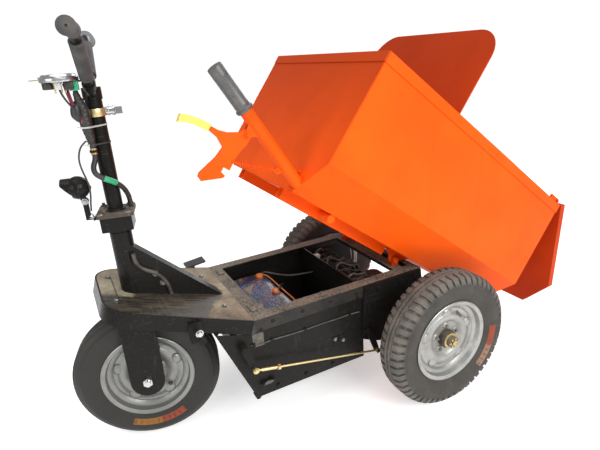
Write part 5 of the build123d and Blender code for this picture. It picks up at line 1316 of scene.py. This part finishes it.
class WHEELBARROW_OT_rear_loom(PieceOperator, bpy.types.Operator):
    """Add the controller, its white plug and the loom behind the battery bay."""

    bl_idname = "wheelbarrow.rear_loom"
    bl_label = "Rear Loom"

    def execute(self, context):
        picker = random.Random(5)
        coats = ("sheath", "sheath", "sheath", "glossy_grip", "sheath", "grey_sheath", "sheath", "sheath")
        grouped = {}
        for k in range(16):
            coat = coats[k % len(coats)]
            y = -150 + k * 20 + picker.uniform(-8, 8)
            top = 372 + picker.uniform(-8, 22)
            points = [place(203, y, 330 + picker.uniform(-12, 12)), place(188, y + picker.uniform(-12, 12), top),
                      place(160, y + picker.uniform(-22, 22), top + picker.uniform(0, 16)),
                      place(128, y + picker.uniform(-26, 26), top - 8), place(98, y + picker.uniform(-22, 22), top - 6),
                      place(78, y + picker.uniform(-16, 16), 330), place(72, y + picker.uniform(-10, 10), 306)]
            grouped.setdefault(coat, []).append((points, picker.uniform(0.0032, 0.0060)))
        for coat, runs in grouped.items():
            bm = bmesh.new()
            for points, radius in runs:
                hose(bm, smooth_line(points), radius, 10)
            finished(bm, "loom_%s" % coat, finish(coat), "chassis", None, (), 60.0)
        bm = bmesh.new()
        block(bm, place(96, -168, 322), place(190, -60, 348), 0.003)
        for k in range(9):
            block(bm, place(98 + k * 10, -166, 347), place(102 + k * 10, -62, 356), 0.0008)
        finished(bm, "finned_controller", finish("motor"), "chassis", None, (), 34.0)
        bm = bmesh.new()
        block(bm, place(180, -122, 380), place(200, -104, 396), 0.002)
        block(bm, place(176, -118, 384), place(181, -108, 392), 0.001)
        finished(bm, "white_plug", finish("nylon"), "chassis", None, (), 34.0)
        return {"FINISHED"}


SIDE_LEAD = ((606, 330), (574, 323), (538, 326), (482, 322), (424, 320), (366, 322), (308, 319), (262, 321), (224, 317))
GUSSET_LEAD = ((858, 37.4, 626), (857, 36.4, 605), (850, 34.4, 584), (834, 34.4, 568), (814, 34.4, 556),
               (796, 34.4, 540), (783, 34.4, 518), (775, 34.4, 496), (772, 34.4, 471.4))


class WHEELBARROW_OT_side_details(PieceOperator, bpy.types.Operator):
    """Add the clipped lead, rivets and hasp details on the battery box's side."""

    bl_idname = "wheelbarrow.side_details"
    bl_label = "Side Details"

    def execute(self, context):
        cord_tube("gusset_lead_tube", [place(*point) for point in GUSSET_LEAD], 0.0060, "grey_sheath", "chassis",
                  "gusset_conduit", None)
        cord_tube("side_lead_tube", [place(x, 220.2, z) for x, z in SIDE_LEAD], 0.0020, "grey_sheath", "chassis",
                  "side_wire", None)
        bm = bmesh.new()
        for x in (236, 330, 430, 530):
            for side in (1, -1):
                spot = place(x, 222 * side, 389)
                spin_ring(bm, [(0.0, 0.0032), (0.0040, 0.0026), (0.0062, 0.0010), (0.0066, 0.0), (0.0, 0.0)], spot, 20,
                          axis=Vector((0, side, 0)), closed=False)
        for x, z in ((230, 158), (330, 158), (430, 158), (530, 158), (230, 372), (570, 372)):
            hex_bolt(bm, place(x, 218, z), (0, 1, 0), 0.0100, 0.0045)
        finished(bm, "box_rivets_and_bolts", finish("black"), "chassis", None, (), 34.0)
        bm = bmesh.new()
        for x, z in ((289, 234), (319, 248)):
            hex_bolt(bm, place(x, 221, z), (0, 1, 0), 0.0085, 0.0040)
        turns = []
        for k in range(8 * 12 + 1):
            step = math.tau * k / 12
            share = k / 96
            turns.append(place(550 + 30 * share, 226 + 5.4 * math.cos(step),
                               189.4 - 2.4 * share + 5.4 * math.sin(step)))
        hose(bm, smooth_line(turns), 0.0010, 8)
        finished(bm, "hasp_screws_and_spring", finish("steel"), "chassis", None, (), 50.0)
        bm = bmesh.new()
        block(bm, place(562, 217.8, 318), place(598, 218.9, 362), 0.0004)
        finished(bm, "bare_side_patch", finish("motor"), "chassis", None, (), 34.0)
        return {"FINISHED"}


class WHEELBARROW_OT_stop_pads(PieceOperator, bpy.types.Operator):
    """Add the worn rubber strips that the lowered bucket rests on."""

    bl_idname = "wheelbarrow.stop_pads"
    bl_label = "Stop Pads"

    def execute(self, context):
        low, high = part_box("bucket_pads")
        width = 0.040
        bm = bmesh.new()
        for start, end in ((low.y, low.y + width), (high.y - width, high.y)):
            block(bm, (low.x + 0.002, start, low.z), (high.x - 0.002, end, low.z + 0.0030), 0.0010, segments=2)
        finished(bm, "bucket_stop_pads", finish("frame"), "chassis", None, ("bucket_pads",), 34.0)
        return {"FINISHED"}


class WHEELBARROW_OT_catch_bolts(PieceOperator, bpy.types.Operator):
    """Add the plated bolt of the latch catch and the brake linkage's clevis nut."""

    bl_idname = "wheelbarrow.catch_bolts"
    bl_label = "Catch Bolts"

    def execute(self, context):
        low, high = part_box("latch_catch")
        middle = (low[0] + high[0]) / 2
        bm = bmesh.new()
        hex_bolt(bm, (middle, high[1] - 0.0105, high[2] - 0.012), (0, 1, 0), 0.0140, 0.0065)
        finished(bm, "catch_bolt", finish("chrome"), "chassis", None, (), 34.0)
        bm = bmesh.new()
        hex_bolt(bm, place(608, 252.5, 262), (0, 1, 0), 0.0125, 0.0045)
        finished(bm, "clevis_nut", finish("zinc"), "brake_pedal", None, (), 34.0)
        return {"FINISHED"}


# ---- stage ----
class WHEELBARROW_OT_stage(PieceOperator, bpy.types.Operator):
    """Add the pale floor, the soft lights and the camera."""

    bl_idname = "wheelbarrow.stage"
    bl_label = "Stage"

    def execute(self, context):
        scene = context.scene
        bm = bmesh.new()
        bmesh.ops.create_grid(bm, x_segments=1, y_segments=1, size=3.0)
        mesh = bpy.data.meshes.new("studio_floor")
        bm.to_mesh(mesh)
        bm.free()
        floor = bpy.data.objects.new("studio_floor", mesh)
        scene.collection.objects.link(floor)
        mesh.materials.append(floor_finish("floor_finish"))
        strength = settings().stage.brightness
        world = scene.world or bpy.data.worlds.new("studio_world")
        scene.world = world
        world.use_nodes = True
        tree = world.node_tree
        sky = tree.nodes["Background"]
        sky.inputs["Color"].default_value = (0.95, 0.97, 1.0, 1.0)
        sky.inputs["Strength"].default_value = 0.42 * strength
        backdrop = tree.nodes.new("ShaderNodeBackground")
        backdrop.inputs["Color"].default_value = (1.0, 1.0, 1.0, 1.0)
        backdrop.inputs["Strength"].default_value = 1.05
        seen = tree.nodes.new("ShaderNodeLightPath")
        chosen = tree.nodes.new("ShaderNodeMixShader")
        tree.links.new(seen.outputs["Is Camera Ray"], chosen.inputs[0])
        tree.links.new(sky.outputs[0], chosen.inputs[1])
        tree.links.new(backdrop.outputs[0], chosen.inputs[2])
        tree.links.new(chosen.outputs[0], tree.nodes["World Output"].inputs["Surface"])
        lamps = (
            ("key_light", (-0.7, 3.6, 2.3), 140.0, 2.2),
            ("front_light", (3.4, 1.6, 1.5), 42.0, 2.0),
            ("top_light", (0.4, 0.2, 4.4), 75.0, 3.2),
            ("rear_light", (-2.6, -2.8, 2.6), 60.0, 2.6),
        )
        target = Vector((0.0, 0.0, 0.45))
        for name, where, power, size in lamps:
            light = bpy.data.lights.new(name, "AREA")
            light.energy = power * strength
            light.shape = "SQUARE"
            light.size = size
            holder = bpy.data.objects.new(name, light)
            scene.collection.objects.link(holder)
            holder.location = where
            holder.rotation_euler = (target - Vector(where)).to_track_quat("-Z", "Y").to_euler()
        camera = bpy.data.cameras.new("studio_camera")
        camera.lens = settings().stage.lens
        camera.sensor_width = 36.0
        camera.clip_end = 200.0
        holder = bpy.data.objects.new("studio_camera", camera)
        scene.collection.objects.link(holder)
        right = Vector((-0.88285, 0.46497, -0.06613))
        up = Vector((-0.21502, -0.27498, 0.93710))
        back = Vector((0.41754, 0.84154, 0.34274))
        turn = Matrix((right, up, back)).transposed().to_4x4()
        holder.matrix_world = Matrix.Translation((0.74749, 1.37333, 1.13459)) @ turn
        scene.camera = holder
        scene.view_settings.view_transform = "Standard"
        return {"FINISHED"}


ORDER = ("stage", "frame_finishes", "column_leads", "side_details", "tyres", "rims", "axle_nuts", "bucket_welds",
         "handle_grip", "latch_spring", "bar_grips", "gauge", "key_barrel", "wiring_bundle", "lamp_details",
         "column_bolts", "battery_pack", "rear_loom", "stop_pads", "catch_bolts")


class WheelbarrowSettings(bpy.types.PropertyGroup):
    wheels: PointerProperty(type=WheelSettings, name="Wheels", description="Tyres and rims")
    paint: PointerProperty(type=PaintSettings, name="Paint", description="Paint colours and dust")
    stage: PointerProperty(type=StageSettings, name="Stage", description="Camera and light")


class WHEELBARROW_PT_panel(bpy.types.Panel):
    bl_idname = "WHEELBARROW_PT_panel"
    bl_label = "Power Wheelbarrow"
    bl_space_type = "VIEW_3D"
    bl_region_type = "UI"
    bl_category = "Wheelbarrow"

    def draw(self, context):
        values = context.scene.wheelbarrow
        for group in (values.wheels, values.paint, values.stage):
            for name in group.bl_rna.properties.keys():
                if name not in ("rna_type", "name"):
                    self.layout.prop(group, name)
        for name in ORDER:
            self.layout.operator("wheelbarrow.%s" % name)


CLASSES = (WheelSettings, PaintSettings, StageSettings, WheelbarrowSettings, WHEELBARROW_OT_frame_finishes,
           WHEELBARROW_OT_tyres, WHEELBARROW_OT_rims, WHEELBARROW_OT_axle_nuts, WHEELBARROW_OT_bucket_welds,
           WHEELBARROW_OT_handle_grip, WHEELBARROW_OT_latch_spring, WHEELBARROW_OT_bar_grips, WHEELBARROW_OT_gauge,
           WHEELBARROW_OT_key_barrel, WHEELBARROW_OT_wiring_bundle, WHEELBARROW_OT_column_leads,
           WHEELBARROW_OT_lamp_details, WHEELBARROW_OT_column_bolts, WHEELBARROW_OT_battery_pack,
           WHEELBARROW_OT_rear_loom, WHEELBARROW_OT_side_details, WHEELBARROW_OT_stop_pads,
           WHEELBARROW_OT_catch_bolts, WHEELBARROW_OT_stage,
           WHEELBARROW_PT_panel)


def register():
    for item in CLASSES:
        bpy.utils.register_class(item)
    bpy.types.Scene.wheelbarrow = PointerProperty(type=WheelbarrowSettings)


def unregister():
    del bpy.types.Scene.wheelbarrow
    for item in reversed(CLASSES):
        bpy.utils.unregister_class(item)


def main():
    register()
    for name in ORDER:
        getattr(bpy.ops.wheelbarrow, name)()


if __name__ == "__main__":
    main()
